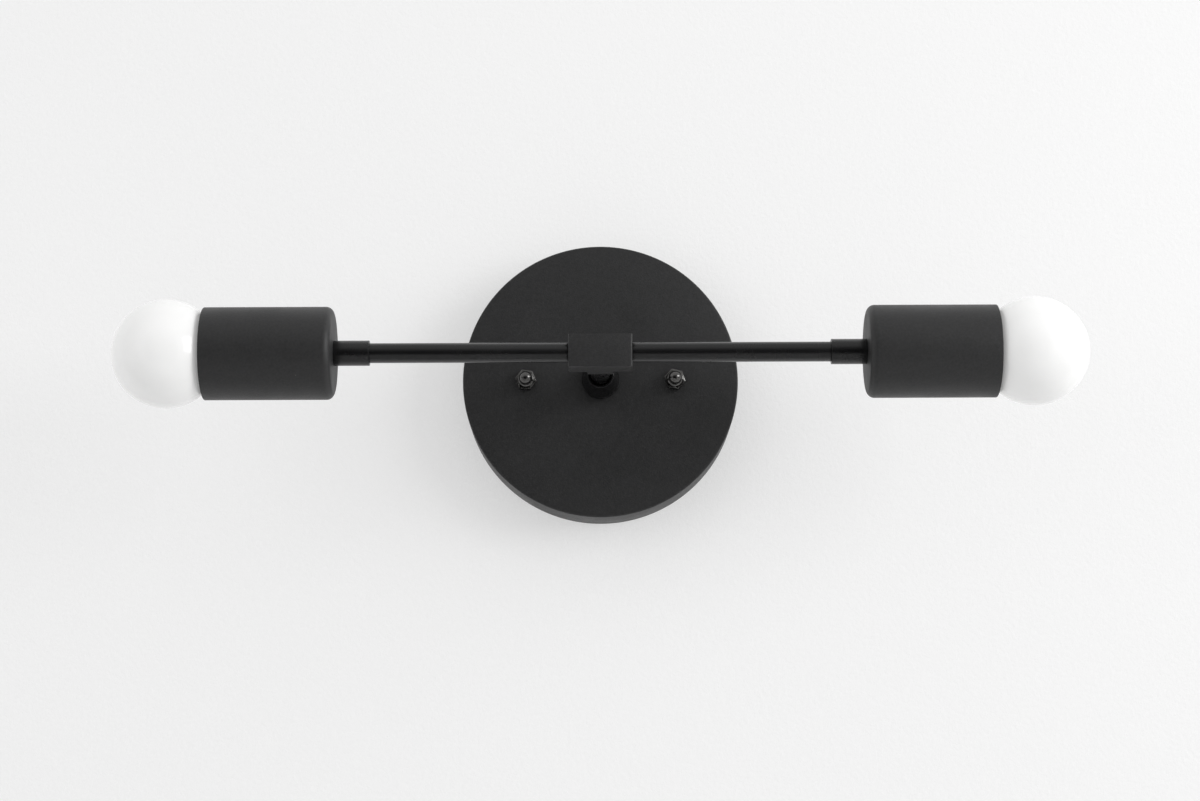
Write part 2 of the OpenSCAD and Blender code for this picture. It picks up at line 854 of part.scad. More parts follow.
// Dome pressed on the front of the cap nut, hollow where the stud ends
module cap_dome(side) {
    straight = dome_len - dome_d / 2;
    foot_d = dome_d + 0.8;
    foot_t = 0.5;
    end_gap = 0.4;
    color(black)
        translate([side * nut_spacing / 2, 0, 0])
            from_wall(dome_depth)
                difference() {
                    union() {
                        cylinder(d = dome_d, h = straight);
                        translate([0, 0, straight]) sphere(d = dome_d);
                        cylinder(d = foot_d, h = foot_t);
                    }
                    translate([0, 0, -dome_d]) cylinder(d = dome_d * 2, h = dome_d);
                    translate([0, 0, -cut])
                        cylinder(d = stud_d + 2 * thread_gap, h = stud_in_dome + end_gap + cut);
                }
}

module ground_screw() {
    head_depth = strap_t + ground_d + 2 * thread_gap;
    head_af = 7.9;
    head_t = 2.2;
    groove_w = 1.2;
    groove_depth = 1.2;
    color(green)
        translate([0, 0, ground_rise])
            union() {
                from_wall(0) cylinder(d = stud_d, h = head_depth);
                from_wall(head_depth) difference() {
                    hexagon(head_af, head_t);
                    translate([-head_af, -groove_w / 2, head_t - groove_depth])
                        cube([2 * head_af, groove_w, groove_depth + cut]);
                }
            }
}

// Ring on the stem, between canopy and lock washer, with a tail for the ground wire
module ground_lug() {
    tail_w = 6;
    color(zinc)
        from_wall(canopy_inner - lug_t)
            difference() {
                union() {
                    cylinder(d = washer_d, h = lug_t);
                    translate([0, -tail_w / 2, 0]) cube([lug_reach, tail_w, lug_t]);
                }
                translate([0, 0, -cut]) cylinder(d = tube_hole_d + sheet_gap, h = lug_t + 2 * cut);
            }
}

// Corners of one lead, from its connector down the stem, through the block and out along the arm
function lead_route(side, row) = [
    [side * lead_offset, -splice_depth, row * (splice_reach + lead_in_connector)],
    [side * lead_offset, -splice_depth, row * lead_offset],
    [side * lead_offset, -bar_reach, row * lead_offset],
    [side * lead_rise, -bar_reach, row * lead_offset],
    [side * lead_rise, -bar_reach, row * lead_end]
];

function unit(v) = v / norm(v);

// Points of a round corner at p, on the way from a to b
function corner(a, p, b, r, steps = 8) =
    let (
        u = unit(a - p),
        v = unit(b - p),
        half = acos(u * v) / 2,
        turn = 180 - 2 * half,
        centre = p + unit(u + v) * r / sin(half),
        first = p + u * r / tan(half) - centre,
        last = p + v * r / tan(half) - centre
    )
    [
        for (k = [0:steps])
            centre + (first * sin((1 - k / steps) * turn) + last * sin(k / steps * turn)) / sin(turn)
    ];

function rounded(route, radii) = concat(
    [route[0]],
    [for (i = [1:len(route) - 2]) each corner(route[i - 1], route[i], route[i + 1], radii[i - 1])],
    [route[len(route) - 1]]
);

function directions(path) = [
    for (i = [0:len(path) - 1]) unit(path[min(i + 1, len(path) - 1)] - path[max(i - 1, 0)])
];

// Sideways direction at each point, carried along without twist
function carried(ways, side, i = 0) =
    i == len(ways) ? [] :
    let (next = unit(side - (side * ways[i]) * ways[i]))
    concat([next], carried(ways, next, i + 1));

module swept_wire(path, d, side, sides = 8) {
    ways = directions(path);
    across = carried(ways, side);
    last = len(path) - 1;
    points = [
        for (i = [0:last], k = [0:sides - 1])
            let (angle = k * 360 / sides)
            path[i] + d / 2 * (cos(angle) * across[i] + sin(angle) * cross(ways[i], across[i]))
    ];
    walls = [
        for (i = [0:last - 1], k = [0:sides - 1])
            let (n = (k + 1) % sides, low = i * sides, high = low + sides)
            each [[low + k, high + k, high + n], [low + k, high + n, low + n]]
    ];
    end = last * sides;
    caps = [for (k = [1:sides - 2]) each [[0, k, k + 1], [end, end + k + 1, end + k]]];
    polyhedron(points = points, faces = concat(walls, caps));
}

module lead(side, row) {
    swept_wire(rounded(lead_route(side, row), [lead_bend, lead_bend, end_bend]), lead_d, [1, 0, 0]);
}

module ground_wire() {
    radii = [ground_bend, ground_bend, ground_bend];
    color(copper) swept_wire(rounded(ground_route, radii), ground_d, [0, 0, 1]);
}

// Tapered connector, closed at its far end, with grip ribs
module connector() {
    bore_d = 2 * (lead_offset + lead_d / 2) + 1.6;
    bore_len = lead_in_connector + 4;
    top_d = connector_d - 3.5;
    nose_len = 2;
    cone_len = connector_len - nose_len;
    groove_d = 1;
    grooves = 12;
    plain_len = 5;
    groove_lean = atan((connector_d - top_d) / 2 / cone_len);
    difference() {
        union() {
            cylinder(d1 = connector_d, d2 = top_d, h = cone_len);
            translate([0, 0, cone_len]) cylinder(d1 = top_d, d2 = top_d - 3, h = nose_len);
        }
        translate([0, 0, -cut]) cylinder(d = bore_d, h = bore_len + cut);
        for (i = [0:grooves - 1])
            rotate(i * 360 / grooves) translate([connector_d / 2 - groove_d / 3, 0, plain_len])
                rotate([0, -groove_lean, 0]) cylinder(d = groove_d, h = connector_len);
    }
}

module wire_connectors() {
    color(orange)
        for (turn = [0, 180])
            translate([0, -splice_depth, 0]) rotate([0, turn, 0])
                translate([0, 0, splice_reach]) connector();
}

canopy();
collar();
stem_tube();
stem_washer();
stem_locknut();
tee_block();
arm_tube(-1);  // arm_tube_left
arm_tube(1);  // arm_tube_right
coupling(-1);  // coupling_left
coupling(1);  // coupling_right
nipple(-1);  // nipple_left
nipple(1);  // nipple_right
socket_cup(-1);  // socket_cup_left
socket_cup(1);  // socket_cup_right
cup_washers();
cup_locknuts();
socket_bracket(-1);  // socket_bracket_left
socket_bracket(1);  // socket_bracket_right
bracket_screws();
socket_body(-1);  // socket_body_left
socket_body(1);  // socket_body_right
screw_shell(-1);  // screw_shell_left
screw_shell(1);  // screw_shell_right
centre_contact(-1);  // centre_contact_left
centre_contact(1);  // centre_contact_right
contact_rivets();
live_terminals();
neutral_terminals();
globe(-1);  // globe_left
globe(1);  // globe_right
glass_mount(-1);  // glass_mount_left
glass_mount(1);  // glass_mount_right
filament(-1);  // filament_left
filament(1);  // filament_right
bulb_base(-1);  // bulb_base_left
bulb_base(1);  // bulb_base_right
insulator(-1);  // insulator_left
insulator(1);  // insulator_right
tip_contact(-1);  // tip_contact_left
tip_contact(1);  // tip_contact_right
box_strap();
stud_strap();
strap_eyelet();
canopy_studs();
stud_locknuts();
cap_nut(-1);  // cap_nut_left
cap_nut(1);  // cap_nut_right
cap_dome(-1);  // cap_dome_left
cap_dome(1);  // cap_dome_right
ground_screw();
ground_lug();
ground_wire();
color(black_sheath) lead(-1, 1);  // black_lead_left
color(black_sheath) lead(1, 1);  // black_lead_right
color(white_sheath) lead(-1, -1);  // white_lead_left
color(white_sheath) lead(1, -1);  // white_lead_right
wire_connectors();
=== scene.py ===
"""Looks of a two-lamp vanity light, in metres. X runs along the bar, Y into the wall and Z up."""

import json
import math

import bpy
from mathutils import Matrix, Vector


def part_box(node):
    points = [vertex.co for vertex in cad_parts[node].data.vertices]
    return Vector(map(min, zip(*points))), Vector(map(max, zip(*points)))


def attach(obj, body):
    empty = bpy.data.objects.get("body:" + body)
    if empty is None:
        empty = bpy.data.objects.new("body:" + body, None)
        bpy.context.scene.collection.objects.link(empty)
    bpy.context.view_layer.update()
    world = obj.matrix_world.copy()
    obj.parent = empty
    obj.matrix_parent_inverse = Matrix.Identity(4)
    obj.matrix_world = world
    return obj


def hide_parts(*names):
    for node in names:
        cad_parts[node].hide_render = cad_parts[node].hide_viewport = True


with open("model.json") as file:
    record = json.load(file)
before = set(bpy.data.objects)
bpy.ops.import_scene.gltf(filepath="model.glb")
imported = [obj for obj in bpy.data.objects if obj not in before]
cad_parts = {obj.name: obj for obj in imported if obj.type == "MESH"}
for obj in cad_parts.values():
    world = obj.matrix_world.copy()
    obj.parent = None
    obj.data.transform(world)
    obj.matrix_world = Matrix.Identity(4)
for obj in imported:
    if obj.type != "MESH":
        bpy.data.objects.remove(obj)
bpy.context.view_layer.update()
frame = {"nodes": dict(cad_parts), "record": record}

# Directions and sides
ORIGIN = Vector((0, 0, 0))
OUT = Vector((0, -1, 0))
UP = Vector((0, 0, 1))
SIDES = {"left": -1, "right": 1}

# Canopy and stem
CANOPY_R = 0.06985
CANOPY_DEPTH = 0.0285
CANOPY_WALL = 0.001
CANOPY_EDGE = 0.0009
STEM_HOLE_R = 0.005
COLLAR_BASE_R = 0.0095
COLLAR_RIM_R = 0.00665
COLLAR_MOUTH_R = 0.0057
COLLAR_BASE_LEN = 0.0055
COLLAR_EDGE = 0.0012
COLLAR_RIM_EDGE = 0.00022
COLLAR_MOUTH_DEPTH = 0.007

# Bar
BAR_REACH = 0.105
TUBE_R = 0.00475
TUBE_BORE_R = 0.00365
TUBE_FIT_R = 0.0048
COUPLING_R = 0.00605
THREAD_END = 0.0006
ARM_THREAD_LEN = 0.008
ARM_THREAD_GAP = 0.0008
PIPE_PITCH = 0.00094
PIPE_THREAD_DEPTH = 0.0004

# Tee block
BLOCK_SIZE = Vector((0.0305, 0.015, 0.0158))
BLOCK_FRONT = 0.0065
BLOCK_CORNER = 0.0009
BLOCK_EDGE = 0.0003
BOSS_W = 0.0122
BOSS_LEN = 0.0065
BOSS_CORNER = 0.0006
WIRE_WAY_R = 0.004

# Cups and sockets
CUP_R = 0.0222
CUP_WALL = 0.0012
CUP_END_EDGE = 0.0035
SOCKET_R = 0.0185
SOCKET_FLOOR = 0.0055
SOCKET_EDGE = 0.0015
SOCKET_STEP = 0.0016
SHELL_T = 0.0003
SHELL_FLOOR_R = 0.0095
SHELL_FOOT = 0.0024
SHELL_LIP = 0.001
TERMINAL_REACH = 0.0095
BRACKET_SCREW_REACH = 0.014
PILOT_R = 0.00155
BLIND_T = 0.0015
RIVET_REACH = 0.0075
RIVET_HOLE_R = 0.00105
RIVET_LEN = 0.0028

# Bulbs
GLOBE_R = 0.026
NECK_R = 0.0125
NECK_BLEND = 0.008
NECK_RING = 0.002
NECK_STEPS = 10
GLOBE_STEPS = 48
GLASS_T = 0.0007
BULB_PITCH = 0.003629
BULB_THREAD_DEPTH = 0.0007
BULB_CREST_R = 0.0131
BULB_THREAD_FIRST = 0.0016
BULB_THREAD_LAST = 0.0165
CONE_R = BULB_CREST_R - BULB_THREAD_DEPTH - 0.001
INSULATOR_R = 0.0092
INSULATOR_FACE_R = 0.005
INSULATOR_RISE = 0.0016
INSULATOR_EDGE = 0.002
CONTACT_R = 0.0045
CONTACT_FACE_R = 0.0024
CONTACT_RISE = 0.0012
CONTACT_EDGE = 0.0006
CONTACT_WIRE_R = 0.0015
SHELL_CREST_R = 0.0134

# Cap nuts and studs
NUT_X = 0.03775
STUD_R = 0.00205
STUD_PITCH = 0.000794
STUD_THREAD_DEPTH = 0.0004
STUD_FIT_R = 0.0021
STUD_HOLE_R = 0.00245
CAP_FLATS = 0.0094
CAP_FACE = 1.13
CAP_EDGE = 0.00014
DOME_R = 0.0034
DOME_FOOT_R = 0.0038
DOME_FOOT = 0.0004
DOME_WAIST_R = 0.0033
DOME_WAIST = 0.0006
DOME_WAIST_SPREAD = 0.00002
DOME_BORE = 0.0034
DOME_STEPS = 16
LOCKNUT_FLATS = 0.014
STUD_NUT_FLATS = 0.0087
NUT_TURN = {"left": math.radians(22), "right": math.radians(17)}

# Edge radii
HAIR_EDGE = 0.0001
THIN_EDGE = 0.00015
FINE_EDGE = 0.0002
SMALL_EDGE = 0.0003
LIP_EDGE = 0.0004
ROUND_EDGE = 0.0005
BEVELLED_EDGE = 0.00012

# Tolerances
SMALLEST_R = 0.000001
MERGE = 0.000004
CLEARANCE = 0.0001
PAST = 0.001

body_of = {node: body for body, nodes in frame["record"]["behaviour"]["bodies"].items() for node in nodes}


def along_arm(side, distance=0.0):
    """A point on the bar's axis."""
    return Vector((SIDES[side] * distance, -BAR_REACH, 0))


def arm_axis(side):
    return Vector((SIDES[side], 0, 0))


def reach_of(node, side):
    """Nearest and farthest distance of a node from the bar's middle."""
    low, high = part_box(node)
    return (low.x, high.x) if SIDES[side] > 0 else (-high.x, -low.x)


def depth_of(node):
    """Least and greatest depth of a node, out from the wall."""
    low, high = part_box(node)
    return -high.y, -low.y


# Hand tools

def deselect():
    if bpy.context.mode != "OBJECT":
        bpy.ops.object.mode_set(mode="OBJECT")
    bpy.ops.object.select_all(action="DESELECT")


def pick(piece):
    deselect()
    piece.select_set(True)
    bpy.context.view_layer.objects.active = piece


def edit_all(piece):
    pick(piece)
    bpy.ops.object.mode_set(mode="EDIT")
    bpy.ops.mesh.select_mode(type="VERT")
    bpy.ops.mesh.select_all(action="SELECT")


def choose_edges(piece, wanted):
    """Opens the piece for editing with the edges selected whose ends pass the test."""
    edit_all(piece)
    bpy.ops.mesh.select_all(action="DESELECT")
    bpy.ops.mesh.select_mode(type="EDGE")
    bpy.ops.object.mode_set(mode="OBJECT")
    points = piece.data.vertices
    for edge in piece.data.edges:
        edge.select = wanted(points[edge.vertices[0]].co, points[edge.vertices[1]].co)
    bpy.ops.object.mode_set(mode="EDIT")


def choose_faces(piece, wanted):
    """Opens the piece for editing with the faces selected that pass the test."""
    edit_all(piece)
    bpy.ops.mesh.select_all(action="DESELECT")
    bpy.ops.mesh.select_mode(type="FACE")
    bpy.ops.object.mode_set(mode="OBJECT")
    for face in piece.data.polygons:
        face.select = wanted(face)
    bpy.ops.object.mode_set(mode="EDIT")


def close_seams(piece, outwards=True):
    edit_all(piece)
    bpy.ops.mesh.remove_doubles(threshold=MERGE)
    if outwards:
        bpy.ops.mesh.normals_make_consistent(inside=False)
    bpy.ops.object.mode_set(mode="OBJECT")


def clear_slivers(piece):
    """Takes away the faces without area that a bevel leaves where bores cross."""
    edit_all(piece)
    bpy.ops.mesh.dissolve_degenerate(threshold=MERGE)
    bpy.ops.object.mode_set(mode="OBJECT")
    smooth(piece)


def smooth(piece, angle=32):
    pick(piece)
    bpy.ops.object.shade_smooth_by_angle(angle=math.radians(angle))


def apply_modifier(piece, modifier):
    pick(piece)
    bpy.ops.object.modifier_apply(modifier=modifier.name)


def soften(piece, width, angle=35, segments=2):
    """Breaks the sharp edges."""
    bevel = piece.modifiers.new("broken edges", "BEVEL")
    bevel.limit_method = "ANGLE"
    bevel.angle_limit = math.radians(angle)
    bevel.width = width
    bevel.segments = segments
    bevel.use_clamp_overlap = True
    apply_modifier(piece, bevel)
    smooth(piece)


def thicken(piece, wall):
    """Gives a skin its wall, on the inside."""
    shell = piece.modifiers.new("wall", "SOLIDIFY")
    shell.thickness = wall
    shell.offset = -1
    shell.use_even_offset = True
    apply_modifier(piece, shell)


def combine(piece, tool, operation):
    """Joins the tool to the piece, cuts it out, or keeps what both share."""
    joint = piece.modifiers.new("combine", "BOOLEAN")
    joint.operation = operation
    joint.solver = "EXACT"
    joint.object = tool
    apply_modifier(piece, joint)
    bpy.data.objects.remove(tool)


def join(parts, name):
    """Makes one piece of several separate solids."""
    pick(parts[0])
    for part in parts[1:]:
        part.select_set(True)
    bpy.ops.object.join()
    parts[0].name = name


def turned(name, outline, start, axis, steps=96):
    """Lathe work: a ring is extruded and resized through an outline of (radius, distance) points."""
    radius, distance = outline[0]
    radius = max(radius, SMALLEST_R)
    deselect()
    bpy.ops.mesh.primitive_circle_add(vertices=steps, radius=radius, location=(0, 0, distance))
    piece = bpy.context.object
    piece.name = name
    bpy.ops.object.transform_apply(location=True, rotation=True, scale=True)
    edit_all(piece)
    for next_radius, next_distance in outline[1:]:
        next_radius = max(next_radius, SMALLEST_R)
        share = next_radius / radius
        bpy.ops.mesh.extrude_region_move(TRANSFORM_OT_translate={"value": (0, 0, next_distance - distance)})
        bpy.ops.transform.resize(value=(share, share, 1), center_override=(0, 0, next_distance))
        radius, distance = next_radius, next_distance
    bpy.ops.object.mode_set(mode="OBJECT")
    close_seams(piece)
    smooth(piece)
    place(piece, start, axis)
    return piece


def place(piece, start, axis):
    """Moves a piece made along Z to its start and axis."""
    pick(piece)
    piece.rotation_euler = axis.to_track_quat("Z", "Y").to_euler()
    piece.location = start
    bpy.ops.object.transform_apply(location=True, rotation=True, scale=True)


def rounded(here, before, after, radius, steps):
    """Points of the arc that rounds a corner between its two neighbours."""
    before = (before - here).normalized()
    after = (after - here).normalized()
    half = before.angle(after) / 2
    centre = here + (before + after).normalized() * radius / math.sin(half)
    first = here + before * radius / math.tan(half) - centre
    last = here + after * radius / math.tan(half) - centre
    sweep = first.angle(last)
    points = []
    for k in range(steps + 1):
        turn = sweep * k / steps
        points.append(centre + (first * math.sin(sweep - turn) + last * math.sin(turn)) / math.sin(sweep))
    return points


def soft_outline(corners, closed=True, steps=4):
    """Outline through corners of (radius, distance, edge radius), with an arc where there is a radius."""
    places = [Vector(corner[:2]) for corner in corners]
    points = []
    for i, here in enumerate(places):
        edge = corners[i][2]
        at_end = not closed and i in (0, len(corners) - 1)
        if edge == 0 or at_end:
            points.append(here)
        else:
            points += rounded(here, places[i - 1], places[(i + 1) % len(places)], edge, steps)
    if closed:
        points.append(points[0])
    return [tuple(point) for point in points]


def rings(radius, first, last, spacing):
    """Evenly spaced rings of one radius, as outline points."""
    count = max(1, round((last - first) / spacing))
    return [(radius, first + (last - first) * k / count) for k in range(count + 1)]


def roll_thread(piece, start, axis, first, last, crest_r, pitch, depth, sharp=False):
    """Rolls a right-hand thread into the plain rings between two distances."""
    across = axis.orthogonal().normalized()
    aside = axis.cross(across)
    for vertex in piece.data.vertices:
        offset = vertex.co - start
        distance = offset.dot(axis)
        spoke = offset - axis * distance
        if not first <= distance <= last or abs(spoke.length - crest_r) > depth / 4:
            continue
        angle = math.atan2(spoke.dot(aside), spoke.dot(across))
        turn = (distance / pitch - angle / math.tau) % 1
        cut = abs(2 * turn - 1) if sharp else (1 + math.cos(math.tau * turn)) / 2
        run_out = min(1, (distance - first) / pitch, (last - distance) / pitch)
        vertex.co -= spoke.normalized() * depth * cut * max(run_out, 0)


def drill(piece, start, axis, radius, first, last):
    """Drills a plain round hole between two distances."""
    bit = [(0, first), (radius, first), (radius, last), (0, last)]
    combine(piece, turned("drill", bit, start, axis, 32), "DIFFERENCE")


def block(name, centre, size):
    deselect()
    bpy.ops.mesh.primitive_cube_add(size=1, location=centre)
    piece = bpy.context.object
    piece.name = name
    piece.scale = size
    bpy.ops.object.transform_apply(location=True, rotation=True, scale=True)
    return piece


def round_corners(piece, radius, along, segments=6):
    """Rounds the edges that run along one direction."""
    choose_edges(piece, lambda a, b: abs((b - a).normalized().dot(along)) > 0.99)
    bpy.ops.mesh.bevel(offset=radius, segments=segments, affect="EDGES")
    bpy.ops.object.mode_set(mode="OBJECT")


def hexagon_nut(name, flats, bore_r, start, axis, first, last, turn=0.0, both=True, face=0.97):
    """Nut with a countersunk bore and its corners turned off, at both ends or only at the last one.

    The turned face is as wide as the flats, times face.
    """
    corner_r = flats / 2 / math.cos(math.radians(30))
    deselect()
    bpy.ops.mesh.primitive_cylinder_add(vertices=6, radius=corner_r, depth=last - first,
                                        location=(0, 0, (first + last) / 2), rotation=(0, 0, turn))
    piece = bpy.context.object
    piece.name = name
    bpy.ops.object.transform_apply(location=True, rotation=True, scale=True)
    clear_r = corner_r * 1.05
    face_r = flats / 2 * face
    slope = math.tan(math.radians(30))
    drop = (clear_r - face_r) * slope
    past = (last - first) / 4
    point_r = face_r - past / slope
    back = [(0, first - past), (point_r, first - past), (clear_r, first + drop)]
    if not both:
        back = [(0, first - past), (clear_r, first - past)]
    lens = [*back, (clear_r, last - drop), (point_r, last + past), (0, last + past)]
    combine(piece, turned("lens", lens, ORIGIN, UP, 48), "INTERSECT")
    sink = bore_r * 0.12
    wide = bore_r + sink + past
    bore = [(0, first - past), (wide, first - past), (bore_r, first + sink), (bore_r, last - sink),
            (wide, last + past), (0, last + past)]
    combine(piece, turned("drill", bore, ORIGIN, UP, 48), "DIFFERENCE")
    place(piece, start, axis)
    return piece


def copy_of(node, name):
    """A copy of a CAD node, with its triangles merged and its flat faces made whole."""
    piece = bpy.data.objects.new(name, frame["nodes"][node].data.copy())
    bpy.context.scene.collection.objects.link(piece)
    edit_all(piece)
    bpy.ops.mesh.remove_doubles(threshold=MERGE)
    bpy.ops.mesh.select_all(action="SELECT")
    bpy.ops.mesh.dissolve_limited(angle_limit=math.radians(1))
    bpy.ops.object.mode_set(mode="OBJECT")
    return piece


def softened(node, width, angle=35, segments=2):
    """A copy of a CAD node with its edges broken."""
    piece = copy_of(node, node + "_finished")
    soften(piece, width, angle, segments)
    return piece


def round_path(corners, bend, steps=8):
    """Points of a wire that runs straight between corners and bends round each one."""
    places = [Vector(corner) for corner in corners]
    points = places[:1]
    for before, here, after, radius in zip(places, places[1:], places[2:], bend):
        points += rounded(here, before, after, radius, steps)
    return points + places[-1:]


def wire(name, points, diameter):
    """Round wire along a path."""
    curve = bpy.data.curves.new(name, "CURVE")
    curve.dimensions = "3D"
    curve.bevel_depth = diameter / 2
    curve.bevel_resolution = 4
    curve.use_fill_caps = True
    line = curve.splines.new("POLY")
    line.points.add(len(points) - 1)
    for knot, point in zip(line.points, points):
        knot.co = (*point, 1)
    piece = bpy.data.objects.new(name, curve)
    bpy.context.scene.collection.objects.link(piece)
    pick(piece)
    bpy.ops.object.convert(target="MESH")
    close_seams(piece)
    smooth(piece, 50)
    return piece


def dress(piece, material, *nodes):
    """Gives a piece its finish, and its body from the CAD nodes that it stands for, and hides those nodes."""
    piece.data.materials.clear()
    piece.data.materials.append(material)
    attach(piece, body_of[nodes[0]])
    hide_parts(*nodes)


def paint_node(node, material):
    """Gives a CAD node that stays in view its finish."""
    mesh = frame["nodes"][node].data
    if not mesh.materials:
        mesh.materials.append(material)
    for i in range(len(mesh.materials)):
        mesh.materials[i] = material


# Effects that several finishes share

def whole_range(tree, value):
    """Stretches the middle of a noise value to the whole range from 0 to 1."""
    spread = add_node(tree, "ShaderNodeMapRange", clamp=True)
    spread.inputs["From Min"].default_value = 0.3
    spread.inputs["From Max"].default_value = 0.7
    tree.links.new(value, spread.inputs["Value"])
    return spread


def new_group(name, inputs, outputs):
    group = bpy.data.node_groups.new(name, "ShaderNodeTree")
    for label, kind, value in inputs:
        socket = group.interface.new_socket(name=label, in_out="INPUT", socket_type=kind)
        if value is not None:
            socket.default_value = value
    for label in outputs:
        group.interface.new_socket(name=label, in_out="OUTPUT", socket_type="NodeSocketFloat")
    return group, group.nodes.new("NodeGroupInput"), group.nodes.new("NodeGroupOutput")


def add_node(tree, kind, **values):
    """A node with its settings; a name in values that isn't a property is an input socket."""
    made = tree.nodes.new(kind)
    for key, value in values.items():
        if hasattr(made, key):
            setattr(made, key, value)
        else:
            made.inputs[key.replace("_", " ")].default_value = value
    return made


def calculate(tree, operation, a, b=None, clamp=False):
    """A Math node on sockets or numbers. Returns its result."""
    made = tree.nodes.new("ShaderNodeMath")
    made.operation = operation
    made.use_clamp = clamp
    for i, value in enumerate((a, b)):
        if value is None:
            continue
        if isinstance(value, (int, float)):
            made.inputs[i].default_value = value
        else:
            tree.links.new(value, made.inputs[i])
    return made.outputs[0]


def grain_group():
    """Small round bumps of a sprayed, cast or moulded skin."""
    group, start, end = new_group("grain", [("Vector", "NodeSocketVector", None),
                                            ("Scale", "NodeSocketFloat", 900.0)], ["Height"])
    links = group.links
    coarse = add_node(group, "ShaderNodeTexNoise", Detail=2.0, Roughness=0.45)
    fine = add_node(group, "ShaderNodeTexNoise", Detail=2.0, Roughness=0.5)
    links.new(start.outputs["Vector"], coarse.inputs["Vector"])
    links.new(start.outputs["Vector"], fine.inputs["Vector"])
    links.new(start.outputs["Scale"], coarse.inputs["Scale"])
    links.new(calculate(group, "MULTIPLY", start.outputs["Scale"], 3.3), fine.inputs["Scale"])
    small = calculate(group, "MULTIPLY", fine.outputs["Fac"], 0.35)
    large = calculate(group, "MULTIPLY", coarse.outputs["Fac"], 0.65)
    links.new(calculate(group, "ADD", small, large), end.inputs["Height"])
    return group


def mottle_group():
    """Slow change between a low and a high value."""
    group, start, end = new_group("mottle", [("Vector", "NodeSocketVector", None),
                                             ("Scale", "NodeSocketFloat", 30.0),
                                             ("Low", "NodeSocketFloat", 0.0),
                                             ("High", "NodeSocketFloat", 1.0)], ["Value"])
    links = group.links
    cloud = add_node(group, "ShaderNodeTexNoise", Detail=4.0, Roughness=0.6)
    spread = whole_range(group, cloud.outputs["Fac"])
    links.new(start.outputs["Vector"], cloud.inputs["Vector"])
    links.new(start.outputs["Scale"], cloud.inputs["Scale"])
    links.new(start.outputs["Low"], spread.inputs["To Min"])
    links.new(start.outputs["High"], spread.inputs["To Max"])
    links.new(spread.outputs["Result"], end.inputs["Value"])
    return group


def dust_group():
    """Sparse specks, one now and then in a grid of cells."""
    group, start, end = new_group("dust", [("Vector", "NodeSocketVector", None),
                                           ("Scale", "NodeSocketFloat", 160.0),
                                           ("Size", "NodeSocketFloat", 0.05)], ["Mask"])
    links = group.links
    cells = add_node(group, "ShaderNodeTexVoronoi", feature="F1")
    links.new(start.outputs["Vector"], cells.inputs["Vector"])
    links.new(start.outputs["Scale"], cells.inputs["Scale"])
    chance = add_node(group, "ShaderNodeSeparateColor")
    links.new(cells.outputs["Color"], chance.inputs["Color"])
    rare = calculate(group, "SUBTRACT", chance.outputs["Red"], 0.8, clamp=True)
    reach = calculate(group, "MULTIPLY", calculate(group, "MULTIPLY", rare, 5.0), start.outputs["Size"])
    inside = calculate(group, "SUBTRACT", reach, cells.outputs["Distance"], clamp=True)
    links.new(calculate(group, "MULTIPLY", inside, 60.0, clamp=True), end.inputs["Mask"])
    return group


def brushing_group():
    """Fine lines of drawn, rolled or brushed metal, long where the stretch is small."""
    group, start, end = new_group("brushing", [("Vector", "NodeSocketVector", None),
                                               ("Stretch", "NodeSocketVector", (1.0, 1.0, 1.0))],
                                  ["Lines", "Height"])
    links = group.links
    drawn = group.nodes.new("ShaderNodeVectorMath")
    drawn.operation = "MULTIPLY"
    links.new(start.outputs["Vector"], drawn.inputs[0])
    links.new(start.outputs["Stretch"], drawn.inputs[1])
    lines = add_node(group, "ShaderNodeTexNoise", Scale=1.0, Detail=3.0, Roughness=0.65)
    links.new(drawn.outputs["Vector"], lines.inputs["Vector"])
    links.new(whole_range(group, lines.outputs["Fac"]).outputs["Result"], end.inputs["Lines"])
    links.new(lines.outputs["Fac"], end.inputs["Height"])
    return group


def scuff_group():
    """Thin crooked scratches, in patches."""
    group, start, end = new_group("scuffs", [("Vector", "NodeSocketVector", None),
                                             ("Scale", "NodeSocketFloat", 120.0),
                                             ("Width", "NodeSocketFloat", 0.02)], ["Mask"])
    links = group.links
    lines = add_node(group, "ShaderNodeTexVoronoi", feature="DISTANCE_TO_EDGE")
    patches = add_node(group, "ShaderNodeTexNoise", Detail=2.0)
    bent = add_node(group, "ShaderNodeTexNoise", Detail=1.0)
    for texture, share in ((patches, 0.2), (bent, 0.7)):
        links.new(start.outputs["Vector"], texture.inputs["Vector"])
        links.new(calculate(group, "MULTIPLY", start.outputs["Scale"], share), texture.inputs["Scale"])
    shift = group.nodes.new("ShaderNodeVectorMath")
    shift.operation = "MULTIPLY_ADD"
    links.new(bent.outputs["Color"], shift.inputs[0])
    shift.inputs[1].default_value = (0.01, 0.01, 0.01)
    links.new(start.outputs["Vector"], shift.inputs[2])
    links.new(shift.outputs["Vector"], lines.inputs["Vector"])
    links.new(start.outputs["Scale"], lines.inputs["Scale"])
    thin = calculate(group, "LESS_THAN", lines.outputs["Distance"], start.outputs["Width"])
    above_half = calculate(group, "SUBTRACT", patches.outputs["Fac"], 0.5, clamp=True)
    patch = calculate(group, "MULTIPLY", above_half, 8.0, clamp=True)
    links.new(calculate(group, "MULTIPLY", thin, patch), end.inputs["Mask"])
    return group


GRAIN = grain_group()
MOTTLE = mottle_group()
DUST = dust_group()
BRUSHING = brushing_group()
SCUFFS = scuff_group()


# Finishes

